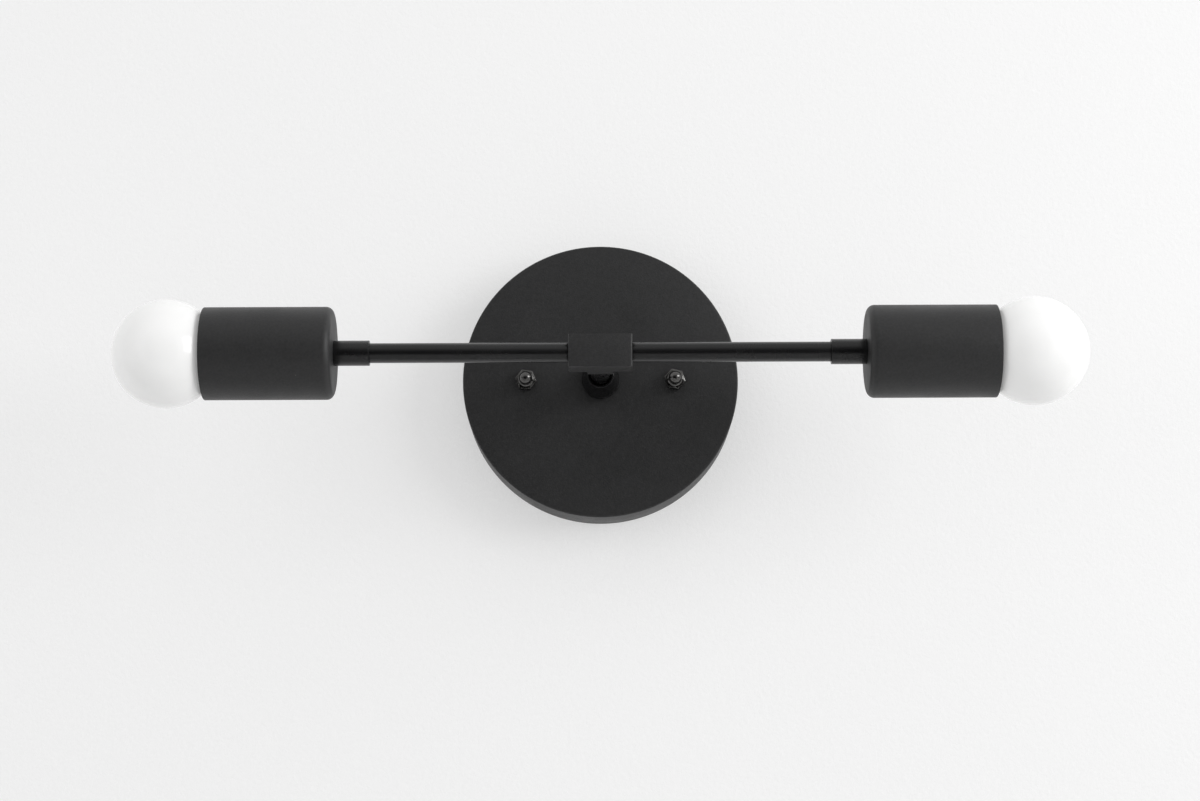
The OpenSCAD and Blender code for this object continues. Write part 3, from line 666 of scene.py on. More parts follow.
class Finish:
    """A material under way: its tree, its shader and its object coordinates."""

    def __init__(self, name, color, roughness, metallic=0.0):
        self.material = bpy.data.materials.new(name)
        self.material.use_nodes = True
        self.tree = self.material.node_tree
        self.shader = self.tree.nodes["Principled BSDF"]
        self.shader.inputs["Base Color"].default_value = (*color, 1)
        self.shader.inputs["Roughness"].default_value = roughness
        self.shader.inputs["Metallic"].default_value = metallic
        self.color = color
        self.place = self.tree.nodes.new("ShaderNodeTexCoord").outputs["Object"]

    def effect(self, group, **values):
        """A shared effect, with this finish's own values."""
        made = self.tree.nodes.new("ShaderNodeGroup")
        made.node_tree = group
        self.tree.links.new(self.place, made.inputs["Vector"])
        for key, value in values.items():
            made.inputs[key].default_value = value
        return made

    def blend_colors(self, mask, *colors):
        """Lays one colour after another over the base colour, each by its own mask."""
        below = None
        for value, color in zip(mask, colors):
            mix = self.tree.nodes.new("ShaderNodeMix")
            mix.data_type = "RGBA"
            self.tree.links.new(value, mix.inputs["Factor"])
            if below is None:
                mix.inputs["A"].default_value = (*self.color, 1)
            else:
                self.tree.links.new(below, mix.inputs["A"])
            mix.inputs["B"].default_value = (*color, 1)
            below = mix.outputs["Result"]
        self.tree.links.new(below, self.shader.inputs["Base Color"])

    def rough(self, value):
        self.tree.links.new(value, self.shader.inputs["Roughness"])

    def bump(self, height, depth):
        made = self.tree.nodes.new("ShaderNodeBump")
        made.inputs["Distance"].default_value = depth
        self.tree.links.new(height, made.inputs["Height"])
        self.tree.links.new(made.outputs["Normal"], self.shader.inputs["Normal"])

    def clouds(self, scale, share, color):
        """A second colour over the first, in slow clouds."""
        self.blend_colors([self.effect(MOTTLE, Scale=scale, Low=0.0, High=share).outputs["Value"]], color)

    def sheen(self, scale, low, high):
        """Roughness that drifts between two values."""
        self.rough(self.effect(MOTTLE, Scale=scale, Low=low, High=high).outputs["Value"])

    def fine_grain(self, scale, depth):
        self.bump(self.effect(GRAIN, Scale=scale).outputs["Height"], depth)


def powder_coat():
    """Matte black powder coat: fine pebbled skin, slightly uneven sheen, a few specks of dust."""
    finish = Finish("black_powder_coat", (0.017, 0.017, 0.0175), 0.5)
    tone = finish.effect(MOTTLE, Scale=22.0, Low=0.0, High=0.5)
    pebbles = finish.effect(MOTTLE, Scale=900.0, Low=0.0, High=0.8)
    dust = finish.effect(DUST, Scale=140.0, Size=0.05)
    faint = calculate(finish.tree, "MULTIPLY", dust.outputs["Mask"], 0.35)
    finish.blend_colors([tone.outputs["Value"], pebbles.outputs["Value"], faint],
                        (0.024, 0.024, 0.0245), (0.03, 0.03, 0.0305), (0.12, 0.12, 0.115))
    finish.sheen(55.0, 0.44, 0.54)
    finish.shader.inputs["Specular IOR Level"].default_value = 0.42
    finish.fine_grain(1300.0, 0.0001)
    return finish.material


def satin_black(name, stretch):
    """Satin black lacquer on drawn tube: smoother than the powder coat, with faint draw lines."""
    finish = Finish(name, (0.006, 0.006, 0.0065), 0.25)
    finish.clouds(40.0, 0.6, (0.009, 0.009, 0.009))
    finish.sheen(70.0, 0.22, 0.3)
    finish.bump(finish.effect(BRUSHING, Stretch=stretch).outputs["Height"], 0.000008)
    return finish.material


def gloss_black():
    """Smooth black enamel on the turned collar, with a slight ripple."""
    finish = Finish("black_enamel", (0.0045, 0.0045, 0.005), 0.16)
    finish.clouds(90.0, 0.6, (0.007, 0.007, 0.007))
    finish.sheen(160.0, 0.13, 0.21)
    finish.fine_grain(1600.0, 0.00001)
    return finish.material


def nut_black():
    """Black nickel: dark mirror plating, with paler rubs where tightening has marked it."""
    finish = Finish("black_nut_finish", (0.13, 0.128, 0.125), 0.2, 1.0)
    rubs = finish.effect(SCUFFS, Scale=500.0, Width=0.03)
    finish.blend_colors([calculate(finish.tree, "MULTIPLY", rubs.outputs["Mask"], 0.3)], (0.3, 0.29, 0.27))
    finish.sheen(300.0, 0.16, 0.24)
    finish.fine_grain(2600.0, 0.00001)
    return finish.material


def zinc_plate():
    """Zinc-plated pressed steel: grey with a faint warm bloom, rolling lines and light scratches."""
    finish = Finish("zinc_steel", (0.56, 0.56, 0.55), 0.35, 1.0)
    bloom = finish.effect(MOTTLE, Scale=60.0, Low=0.0, High=0.8)
    marks = finish.effect(SCUFFS, Scale=160.0, Width=0.012)
    finish.blend_colors([bloom.outputs["Value"], marks.outputs["Mask"]],
                        (0.62, 0.585, 0.49), (0.72, 0.72, 0.7))
    finish.sheen(180.0, 0.28, 0.46)
    lines = finish.effect(BRUSHING, Stretch=(250.0, 250.0, 2600.0))
    finish.bump(lines.outputs["Height"], 0.00002)
    return finish.material


def nickel_plate():
    """Nickel-plated screws and nuts: brighter and smoother than the zinc."""
    finish = Finish("plated_steel", (0.6, 0.585, 0.55), 0.24, 1.0)
    finish.clouds(220.0, 0.6, (0.46, 0.45, 0.43))
    finish.sheen(400.0, 0.18, 0.32)
    finish.fine_grain(3000.0, 0.000008)
    return finish.material


def plain_brass():
    """Bare brass with a light brown tarnish in clouds."""
    finish = Finish("brass", (0.76, 0.56, 0.27), 0.28, 1.0)
    finish.clouds(170.0, 0.7, (0.5, 0.33, 0.14))
    finish.sheen(260.0, 0.2, 0.42)
    finish.fine_grain(2400.0, 0.000012)
    return finish.material


def rolled_aluminium():
    """Thin rolled sheet: bright, with lines round the shell from the rolling."""
    finish = Finish("rolled_aluminium", (0.78, 0.78, 0.78), 0.3, 1.0)
    lines = finish.effect(BRUSHING, Stretch=(3200.0, 160.0, 160.0))
    finish.blend_colors([lines.outputs["Lines"]], (0.68, 0.68, 0.69))
    finish.sheen(300.0, 0.24, 0.4)
    finish.bump(lines.outputs["Height"], 0.00001)
    return finish.material


def phenolic():
    """Black phenolic moulding: brown-black, with pale filler flecks and a soft shine."""
    finish = Finish("socket_moulding", (0.02, 0.017, 0.015), 0.34)
    flow = finish.effect(MOTTLE, Scale=90.0, Low=0.0, High=0.8)
    flecks = finish.effect(DUST, Scale=900.0, Size=0.12)
    faint = calculate(finish.tree, "MULTIPLY", flecks.outputs["Mask"], 0.3)
    finish.blend_colors([flow.outputs["Value"], faint], (0.03, 0.025, 0.022), (0.12, 0.1, 0.08))
    finish.sheen(150.0, 0.28, 0.42)
    finish.fine_grain(1500.0, 0.000015)
    return finish.material


def black_glass():
    """Fused black glass between the bulb's shell and its tip."""
    finish = Finish("black_glass", (0.012, 0.012, 0.014), 0.1)
    finish.sheen(500.0, 0.06, 0.16)
    finish.fine_grain(900.0, 0.00002)
    return finish.material


def opal_glass():
    """Opal white glass: even and glossy, with a painted glow: a weak white emission lifts its shaded side,
    though the bulb is off.
    """
    finish = Finish("opal_glass", (0.87, 0.87, 0.865), 0.14)
    finish.clouds(24.0, 0.6, (0.9, 0.9, 0.895))
    finish.sheen(60.0, 0.12, 0.18)
    finish.shader.inputs["Coat Weight"].default_value = 0.15
    finish.shader.inputs["Coat Roughness"].default_value = 0.06
    # Painted glow: white emission on glass that is no lamp, lifting its shade
    finish.shader.inputs["Emission Color"].default_value = (1, 1, 0.99, 1)
    finish.shader.inputs["Emission Strength"].default_value = 0.12
    return finish.material


def clear_glass():
    """Clear glass of the mount inside the bulb."""
    finish = Finish("clear_glass", (0.95, 0.97, 0.97), 0.04)
    finish.shader.inputs["Transmission Weight"].default_value = 1.0
    finish.sheen(200.0, 0.02, 0.07)
    return finish.material


def insulation(name, color, dark):
    """Soft insulation on a lead: slightly uneven from the die, with a low shine."""
    finish = Finish(name, color, 0.38)
    finish.clouds(130.0, 0.5, dark)
    finish.sheen(240.0, 0.3, 0.46)
    finish.fine_grain(1400.0, 0.00002)
    return finish.material


def bare_copper():
    """Bare copper wire with die lines and brown patches."""
    finish = Finish("bare_copper", (0.86, 0.45, 0.29), 0.3, 1.0)
    finish.clouds(140.0, 0.8, (0.5, 0.22, 0.13))
    finish.sheen(300.0, 0.22, 0.45)
    finish.fine_grain(2500.0, 0.00001)
    return finish.material


def green_dye():
    """Green-dyed plating of the ground screw, rubbed on its edges."""
    finish = Finish("green_screw", (0.05, 0.28, 0.1), 0.32, 0.7)
    rubs = finish.effect(SCUFFS, Scale=320.0, Width=0.04)
    tone = finish.effect(MOTTLE, Scale=260.0, Low=0.0, High=0.6)
    finish.blend_colors([tone.outputs["Value"], rubs.outputs["Mask"]], (0.03, 0.18, 0.07), (0.35, 0.42, 0.34))
    finish.sheen(420.0, 0.25, 0.42)
    return finish.material


def connector_orange():
    """Orange moulding of the wire connectors: fine matte texture with a few scuffs."""
    finish = Finish("connector_plastic", (0.72, 0.21, 0.025), 0.42)
    tone = finish.effect(MOTTLE, Scale=110.0, Low=0.0, High=0.6)
    scuffs = finish.effect(SCUFFS, Scale=260.0, Width=0.03)
    pale = calculate(finish.tree, "MULTIPLY", scuffs.outputs["Mask"], 0.4)
    finish.blend_colors([tone.outputs["Value"], pale], (0.62, 0.16, 0.02), (0.85, 0.45, 0.22))
    finish.sheen(200.0, 0.36, 0.52)
    finish.fine_grain(1800.0, 0.00003)
    return finish.material


POWDER = powder_coat()
SATIN_BAR = satin_black("black_satin_bar", (40.0, 1500.0, 1500.0))
SATIN_STEM = satin_black("black_satin_stem", (1500.0, 40.0, 1500.0))
GLOSS = gloss_black()
NUT_BLACK = nut_black()
ZINC = zinc_plate()
NICKEL = nickel_plate()
BRASS = plain_brass()
ALUMINIUM = rolled_aluminium()
PHENOLIC = phenolic()
BLACK_GLASS = black_glass()
OPAL_WITH_PAINTED_GLOW = opal_glass()
CLEAR = clear_glass()
BLACK_SHEATH = insulation("black_insulation", (0.018, 0.018, 0.019), (0.035, 0.035, 0.034))
WHITE_SHEATH = insulation("white_insulation", (0.8, 0.8, 0.77), (0.66, 0.65, 0.6))
COPPER = bare_copper()
GREEN = green_dye()
ORANGE = connector_orange()


# Canopy and stem

def make_canopy():
    """Spun pan: flat face, small round edge, straight rim, and holes for stem and studs."""
    inner_r = CANOPY_R - CANOPY_WALL
    inside = CANOPY_DEPTH - CANOPY_WALL
    corners = [(STEM_HOLE_R, inside, 0), (inner_r, inside, FINE_EDGE), (inner_r, 0, FINE_EDGE),
               (CANOPY_R, 0, SMALL_EDGE), (CANOPY_R, CANOPY_DEPTH, CANOPY_EDGE),
               (STEM_HOLE_R, CANOPY_DEPTH, HAIR_EDGE)]
    pan = turned("canopy_pan", soft_outline(corners), ORIGIN, OUT, 192)
    for x in (-NUT_X, NUT_X):
        drill(pan, Vector((x, 0, 0)), OUT, STUD_HOLE_R, inside - 2 * PAST, CANOPY_DEPTH + 2 * PAST)
    smooth(pan)
    dress(pan, POWDER, "canopy")


def make_collar():
    """Turned skirt with an open mouth in front."""
    back, front = depth_of("collar")
    mouth = front - COLLAR_MOUTH_DEPTH
    corners = [(TUBE_FIT_R, back, 0), (COLLAR_BASE_R, back, SMALL_EDGE),
               (COLLAR_BASE_R, back + COLLAR_BASE_LEN, COLLAR_EDGE), (COLLAR_RIM_R, front, COLLAR_RIM_EDGE),
               (COLLAR_MOUTH_R, front, COLLAR_RIM_EDGE), (COLLAR_MOUTH_R, mouth, SMALL_EDGE),
               (TUBE_FIT_R, mouth, 0)]
    dress(turned("stem_collar", soft_outline(corners), ORIGIN, OUT), GLOSS, "collar")


def make_tube(name, start, axis, first, last, threads):
    """Tube with broken ends, and a pipe thread on each stretch that is given."""
    corners = [(TUBE_BORE_R, first, FINE_EDGE), (TUBE_R, first, SMALL_EDGE), (TUBE_R, last, SMALL_EDGE),
               (TUBE_BORE_R, last, FINE_EDGE)]
    points = soft_outline(corners, steps=2)
    for low, high in threads:
        on_skin = [i for i, (radius, rise) in enumerate(points)
                   if radius > TUBE_R - MERGE and rise <= low + MERGE]
        after = on_skin[-1] + 1
        points[after:after] = rings(TUBE_R, low, high, PIPE_PITCH / 8)
    tube = turned(name, points, start, axis, 64)
    for low, high in threads:
        roll_thread(tube, start, axis, low, high, TUBE_R, PIPE_PITCH, PIPE_THREAD_DEPTH, sharp=True)
    return tube


def make_stem():
    back, front = depth_of("stem_tube")
    tube = make_tube("stem_pipe", ORIGIN, OUT, back, front, [(back + THREAD_END, CANOPY_DEPTH - CANOPY_WALL)])
    dress(tube, SATIN_STEM, "stem_tube")


def make_tee_block():
    """Block with a boss behind, drilled for both arms and the stem."""
    middle = Vector((0, -BAR_REACH - BLOCK_FRONT + BLOCK_SIZE.y / 2, 0))
    body = block("tee_casting", middle, BLOCK_SIZE)
    round_corners(body, BLOCK_CORNER, UP)
    boss_back = middle.y + BLOCK_SIZE.y / 2 + BOSS_LEN
    boss = block("boss", Vector((0, (middle.y + boss_back) / 2, 0)),
                 Vector((BOSS_W, boss_back - middle.y, BLOCK_SIZE.z)))
    round_corners(boss, BOSS_CORNER, UP)
    combine(body, boss, "UNION")
    inner, past = reach_of("arm_tube_right", "right")[0], BLOCK_SIZE.x
    arm_drill = [(0, -past), (TUBE_FIT_R, -past), (TUBE_FIT_R, -inner), (WIRE_WAY_R, -inner),
                 (WIRE_WAY_R, inner), (TUBE_FIT_R, inner), (TUBE_FIT_R, past), (0, past)]
    combine(body, turned("drill", arm_drill, along_arm("right"), arm_axis("right"), 64), "DIFFERENCE")
    stem_end, below = depth_of("stem_tube")[1], -boss_back - BOSS_LEN
    stem_drill = [(0, below), (TUBE_FIT_R, below), (TUBE_FIT_R, stem_end), (WIRE_WAY_R, stem_end),
                  (WIRE_WAY_R, BAR_REACH), (0, BAR_REACH)]
    combine(body, turned("drill", stem_drill, ORIGIN, OUT, 60), "DIFFERENCE")
    close_seams(body)
    soften(body, BLOCK_EDGE, segments=3)
    clear_slivers(body)
    dress(body, POWDER, "tee_block")


def make_arm(side):
    first, last = reach_of(f"arm_tube_{side}", side)
    block_side = BLOCK_SIZE.x / 2
    start, axis = along_arm(side), arm_axis(side)
    threads = [(first + THREAD_END, block_side - ARM_THREAD_GAP), (last - ARM_THREAD_LEN, last - THREAD_END)]
    dress(make_tube(f"arm_pipe_{side}", start, axis, first, last, threads), SATIN_BAR, f"arm_tube_{side}")
    first, last = reach_of(f"nipple_{side}", side)
    threads = [(first + THREAD_END, last - THREAD_END)]
    dress(make_tube(f"threaded_nipple_{side}", start, axis, first, last, threads), ZINC, f"nipple_{side}")


def make_coupling(side):
    first, last = reach_of(f"coupling_{side}", side)
    corners = [(TUBE_FIT_R, first, HAIR_EDGE), (COUPLING_R, first, THIN_EDGE), (COUPLING_R, last, THIN_EDGE),
               (TUBE_FIT_R, last, HAIR_EDGE)]
    sleeve = turned(f"coupling_sleeve_{side}", soft_outline(corners), along_arm(side), arm_axis(side), 64)
    dress(sleeve, SATIN_BAR, f"coupling_{side}")


# Cups and sockets

def make_cup(side):
    """Deep-drawn cup: closed and rounded at the arm, open at the bulb."""
    first, last = reach_of(f"socket_cup_{side}", side)
    inner_r = CUP_R - CUP_WALL
    corners = [(STEM_HOLE_R, first, 0), (CUP_R, first, CUP_END_EDGE), (CUP_R, last, LIP_EDGE),
               (inner_r, last, SMALL_EDGE), (inner_r, first + CUP_WALL, CUP_END_EDGE - CUP_WALL),
               (STEM_HOLE_R, first + CUP_WALL, 0)]
    cup = turned(f"cup_shell_{side}", soft_outline(corners, steps=8), along_arm(side), arm_axis(side), 160)
    dress(cup, POWDER, f"socket_cup_{side}")


def make_socket(side):
    """Moulded body: a stepped front rim round the screw shell, and a rounded back."""
    first, last = reach_of(f"socket_body_{side}", side)
    bore_r = SHELL_CREST_R + BULB_THREAD_DEPTH + SHELL_T + CLEARANCE / 2
    rim_r = SOCKET_R - SOCKET_STEP / 2
    floor, ledge = first + SOCKET_FLOOR, last - SOCKET_STEP
    corners = [(0, first, 0), (SOCKET_R, first, SOCKET_EDGE), (SOCKET_R, ledge, LIP_EDGE),
               (rim_r, ledge, FINE_EDGE), (rim_r, last, ROUND_EDGE), (bore_r, last, LIP_EDGE),
               (bore_r, floor, ROUND_EDGE), (0, floor, 0)]
    start, axis = along_arm(side), arm_axis(side)
    body = turned(f"socket_moulding_{side}", soft_outline(corners, closed=False), start, axis, 96)
    screws = [UP * TERMINAL_REACH, -UP * TERMINAL_REACH,
              OUT * BRACKET_SCREW_REACH, -OUT * BRACKET_SCREW_REACH]
    for aside in screws:
        drill(body, start + aside, axis, PILOT_R, first - PAST, floor - BLIND_T + CLEARANCE)
    rivet_head, rivet_end = floor + PAST, floor - RIVET_LEN - CLEARANCE / 2
    drill(body, start + OUT * RIVET_REACH * SIDES[side], axis, RIVET_HOLE_R, rivet_end, rivet_head)
    smooth(body)
    dress(body, PHENOLIC, f"socket_body_{side}")


def make_screw_shell(side):
    """Rolled shell with its thread, an open floor and a straight lip."""
    first, last = reach_of(f"screw_shell_{side}", side)
    start, axis = along_arm(side), arm_axis(side)
    wall_r = SHELL_CREST_R + BULB_THREAD_DEPTH
    thread_first, thread_last = first + SHELL_FOOT, last - SHELL_LIP
    outline = [(SHELL_FLOOR_R, first + SHELL_T), *rings(wall_r, first + SHELL_T, thread_first, SHELL_LIP),
               *rings(wall_r, thread_first, thread_last, BULB_PITCH / 14)[1:], (wall_r, last)]
    shell = turned(f"threaded_shell_{side}", outline, start, axis, 96)
    roll_thread(shell, start, axis, thread_first, thread_last, wall_r, BULB_PITCH, BULB_THREAD_DEPTH)
    edit_all(shell)
    bpy.ops.mesh.normals_make_consistent(inside=False)
    bpy.ops.object.mode_set(mode="OBJECT")
    thicken(shell, -SHELL_T)
    smooth(shell, 40)
    dress(shell, ALUMINIUM, f"screw_shell_{side}")


# Bulbs

def glass_outline(first, last):
    """Half outline of the bulb's glass, from the open neck to the top of the globe."""
    centre = last - GLOBE_R
    spread = NECK_R + NECK_BLEND
    drop = math.sqrt((GLOBE_R + NECK_BLEND) ** 2 - spread ** 2)
    blend_end = math.atan2(drop, spread)
    points = rings(NECK_R, first, centre - drop, NECK_RING)
    for k in range(1, NECK_STEPS + 1):
        angle = blend_end * k / NECK_STEPS
        points.append((spread - NECK_BLEND * math.cos(angle), centre - drop + NECK_BLEND * math.sin(angle)))
    for k in range(1, GLOBE_STEPS + 1):
        angle = -blend_end + (math.pi / 2 + blend_end) * k / GLOBE_STEPS
        points.append((GLOBE_R * math.cos(angle), centre + GLOBE_R * math.sin(angle)))
    return points


def make_globe(side):
    first, last = reach_of(f"globe_{side}", side)
    globe = turned(f"opal_globe_{side}", glass_outline(first, last), along_arm(side), arm_axis(side), 128)
    thicken(globe, GLASS_T)
    smooth(globe, 60)
    dress(globe, OPAL_WITH_PAINTED_GLOW, f"globe_{side}")


def make_bulb_base(side):
    """Rolled base shell: cone, thread, plain skirt, and a rolled edge against the glass."""
    first, last = reach_of(f"bulb_base_{side}", side)
    start, axis = along_arm(side), arm_axis(side)
    thread_first, thread_last = first + BULB_THREAD_FIRST, first + BULB_THREAD_LAST
    outline = [(CONE_R, first), (CONE_R + 2 * SHELL_T, first + SHELL_T),
               (BULB_CREST_R - ROUND_EDGE, thread_first - LIP_EDGE),
               *rings(BULB_CREST_R, thread_first, thread_last, BULB_PITCH / 14),
               *rings(BULB_CREST_R, thread_last, last - 2 * SHELL_T, SHELL_LIP)[1:],
               (BULB_CREST_R - FINE_EDGE, last)]
    shell = turned(f"bulb_cap_{side}", outline, start, axis, 96)
    roll_thread(shell, start, axis, thread_first, thread_last, BULB_CREST_R, BULB_PITCH, BULB_THREAD_DEPTH)
    thicken(shell, SHELL_T)
    smooth(shell, 40)
    dress(shell, ALUMINIUM, f"bulb_base_{side}")


def make_bulb_tip(side):
    """Black glass ring, and the soldered contact in its middle."""
    first, last = reach_of(f"insulator_{side}", side)
    start, axis = along_arm(side), arm_axis(side)
    tip_first, tip_last = reach_of(f"tip_contact_{side}", side)
    outer_r = CONE_R - SHELL_T - CLEARANCE
    bore_r = CONTACT_WIRE_R + CLEARANCE / 2
    corners = [(bore_r, first, HAIR_EDGE), (INSULATOR_FACE_R, first, SMALL_EDGE),
               (INSULATOR_R, first + INSULATOR_RISE, INSULATOR_EDGE), (outer_r, last, SMALL_EDGE),
               (bore_r, last, 0)]
    ring = turned(f"glass_insulator_{side}", soft_outline(corners), start, axis, 64)
    dress(ring, BLACK_GLASS, f"insulator_{side}")
    solder = tip_first + CONTACT_RISE
    corners = [(0, tip_first, 0), (CONTACT_FACE_R, tip_first, CONTACT_EDGE),
               (CONTACT_R - FINE_EDGE, solder - SMALL_EDGE, SMALL_EDGE), (CONTACT_R, solder, 0),
               (CONTACT_WIRE_R, solder, 0), (CONTACT_WIRE_R, tip_last, FINE_EDGE), (0, tip_last, 0)]
    contact = turned(f"soldered_tip_{side}", soft_outline(corners, closed=False), start, axis, 48)
    dress(contact, ZINC, f"tip_contact_{side}")


# Cap nuts and studs

def make_cap_nut(side):
    """Hexagon with its corners turned off in front, left as tightening left it."""
    start = Vector((SIDES[side] * NUT_X, 0, 0))
    back, front = depth_of(f"cap_nut_{side}")
    nut = hexagon_nut(f"cap_hexagon_{side}", CAP_FLATS, STUD_FIT_R, start, OUT, back, front, NUT_TURN[side],
                      both=False, face=CAP_FACE)
    soften(nut, CAP_EDGE)
    dress(nut, NUT_BLACK, f"cap_nut_{side}")


def make_dome(side):
    """Acorn dome: a small foot, a waist, a bulge and a blunt tip."""
    start = Vector((SIDES[side] * NUT_X, 0, 0))
    back, front = depth_of(f"cap_dome_{side}")
    bore_end = back + DOME_BORE
    foot = back + DOME_FOOT
    waist = foot + DOME_FOOT
    centre = front - DOME_R
    points = [(0, bore_end), (STUD_FIT_R, bore_end), (STUD_FIT_R, back + FINE_EDGE),
              (STUD_FIT_R + FINE_EDGE, back), (DOME_FOOT_R - FINE_EDGE, back),
              (DOME_FOOT_R, back + THIN_EDGE), (DOME_FOOT_R, foot),
              (DOME_WAIST_R + FINE_EDGE, foot + FINE_EDGE), (DOME_WAIST_R, waist),
              (DOME_WAIST_R + DOME_WAIST_SPREAD, waist + DOME_WAIST), (DOME_R, centre)]
    for k in range(1, DOME_STEPS + 1):
        angle = math.pi / 2 * k / DOME_STEPS
        points.append((DOME_R * math.cos(angle), centre + DOME_R * math.sin(angle)))
    dress(turned(f"acorn_dome_{side}", points, start, OUT, 64), NUT_BLACK, f"cap_dome_{side}")


def make_studs():
    """Both studs, with a fine thread from end to end."""
    back, front = depth_of("canopy_studs")
    studs = []
    for x in (-NUT_X, NUT_X):
        start = Vector((x, 0, 0))
        end_r = STUD_R - STUD_THREAD_DEPTH
        first, last = back + STUD_THREAD_DEPTH, front - STUD_THREAD_DEPTH
        outline = [(0, back), (end_r, back), *rings(STUD_R, first, last, STUD_PITCH / 8), (end_r, front),
                   (0, front)]
        stud = turned("stud", outline, start, OUT, 32)
        roll_thread(stud, start, OUT, first, last, STUD_R, STUD_PITCH, STUD_THREAD_DEPTH, sharp=True)
        studs.append(stud)
    join(studs, "threaded_studs")
    dress(studs[0], NICKEL, "canopy_studs")


def make_locknuts():
    back, front = depth_of("stem_locknut")
    nut = hexagon_nut("stem_nut", LOCKNUT_FLATS, TUBE_FIT_R, ORIGIN, OUT, back, front)
    soften(nut, BEVELLED_EDGE)
    dress(nut, NICKEL, "stem_locknut")
    nuts = []
    for side in SIDES:
        last = reach_of(f"socket_bracket_{side}", side)[0]
        first = last - (front - back)
        start, axis = along_arm(side), arm_axis(side)
        nuts.append(hexagon_nut("nut", LOCKNUT_FLATS, TUBE_FIT_R, start, axis, first, last))
    join(nuts, "cup_nuts")
    soften(nuts[0], BEVELLED_EDGE)
    dress(nuts[0], NICKEL, "cup_locknuts")
    back, front = depth_of("stud_locknuts")
    nuts = [hexagon_nut("nut", STUD_NUT_FLATS, STUD_FIT_R, Vector((x, 0, 0)), OUT, back, front)
            for x in (-NUT_X, NUT_X)]
    join(nuts, "stud_nuts")
    soften(nuts[0], HAIR_EDGE)
    dress(nuts[0], NICKEL, "stud_locknuts")


# Straps, brackets and small metal parts

def make_pressed_parts():
    """Pressed and turned parts that keep their CAD shape, with their edges broken."""
    strap_edge, washer_edge, contact_edge = 0.00025, 0.00008, 0.00006
    widths = {
        "box_strap": (ZINC, strap_edge), "stud_strap": (ZINC, strap_edge), "strap_eyelet": (BRASS, THIN_EDGE),
        "socket_bracket_left": (ZINC, THIN_EDGE), "socket_bracket_right": (ZINC, THIN_EDGE),
        "bracket_screws": (ZINC, THIN_EDGE), "stem_washer": (NICKEL, washer_edge),
        "cup_washers": (NICKEL, washer_edge), "live_terminals": (BRASS, THIN_EDGE),
        "neutral_terminals": (NICKEL, THIN_EDGE), "contact_rivets": (BRASS, HAIR_EDGE),
        "centre_contact_left": (BRASS, contact_edge), "centre_contact_right": (BRASS, contact_edge),
        "ground_lug": (ZINC, HAIR_EDGE), "ground_screw": (GREEN, THIN_EDGE),
    }
    for node, (material, width) in widths.items():
        dress(softened(node, width), material, node)


# Wiring

SPLICE_DEPTH = 0.0135
SPLICE_REACH = 0.019
LEAD_D = 0.0022
LEAD_OFFSET = 0.0015
LEAD_IN_CONNECTOR = 0.008
CONNECTOR_LEN = 0.022
CONNECTOR_RIBS = 12
CONNECTOR_R = 0.00625
CONNECTOR_BORE_R = 0.0034
CONNECTOR_BORE = 0.012
CONNECTOR_SKIRT = 0.0052
CONNECTOR_CONE = [(0.0058, 0.0004), (0.0043, 0.001), (0.0028, 0.0008)]
CONNECTOR_TIP = 0.002
RIB_HEIGHT = 0.0004
RIB_SHARE = 0.34
RIB_STOP = 0.0025
LEAD_RISE = 0.1426
LEAD_END = 0.0064
LEAD_BENDS = (0.005, 0.005, 0.003)
GROUND_D = 0.0016
GROUND_BEND = 0.004


def make_lead(color, side, row, material):
    """Insulated lead from its connector down the stem and out along the arm to a terminal."""
    x = SIDES[side]
    corners = [
        (x * LEAD_OFFSET, -SPLICE_DEPTH, row * (SPLICE_REACH + LEAD_IN_CONNECTOR)),
        (x * LEAD_OFFSET, -SPLICE_DEPTH, row * LEAD_OFFSET),
        (x * LEAD_OFFSET, -BAR_REACH, row * LEAD_OFFSET),
        (x * LEAD_RISE, -BAR_REACH, row * LEAD_OFFSET),
        (x * LEAD_RISE, -BAR_REACH, row * LEAD_END),
    ]
    lead = wire(f"{color}_wire_{side}", round_path(corners, LEAD_BENDS), LEAD_D)
    dress(lead, material, f"{color}_lead_{side}")


def make_ground_wire():
    """Bare wire from the tail of the ring lug back to the ground screw on the strap."""
    low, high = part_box("ground_wire")
    lug_depth = -low.y - GROUND_D / 2
    screw_depth = -high.y + GROUND_D / 2
    top = high.z - GROUND_D / 2
    corners = [(0.0092, -lug_depth, 0), (0.02, -lug_depth, 0), (0.021, -lug_depth / 2, top / 2),
               (0.015, -screw_depth, top), (-0.001, -screw_depth, top)]
    cord = wire("bare_ground_wire", round_path(corners, (GROUND_BEND,) * 3), GROUND_D)
    dress(cord, COPPER, "ground_wire")


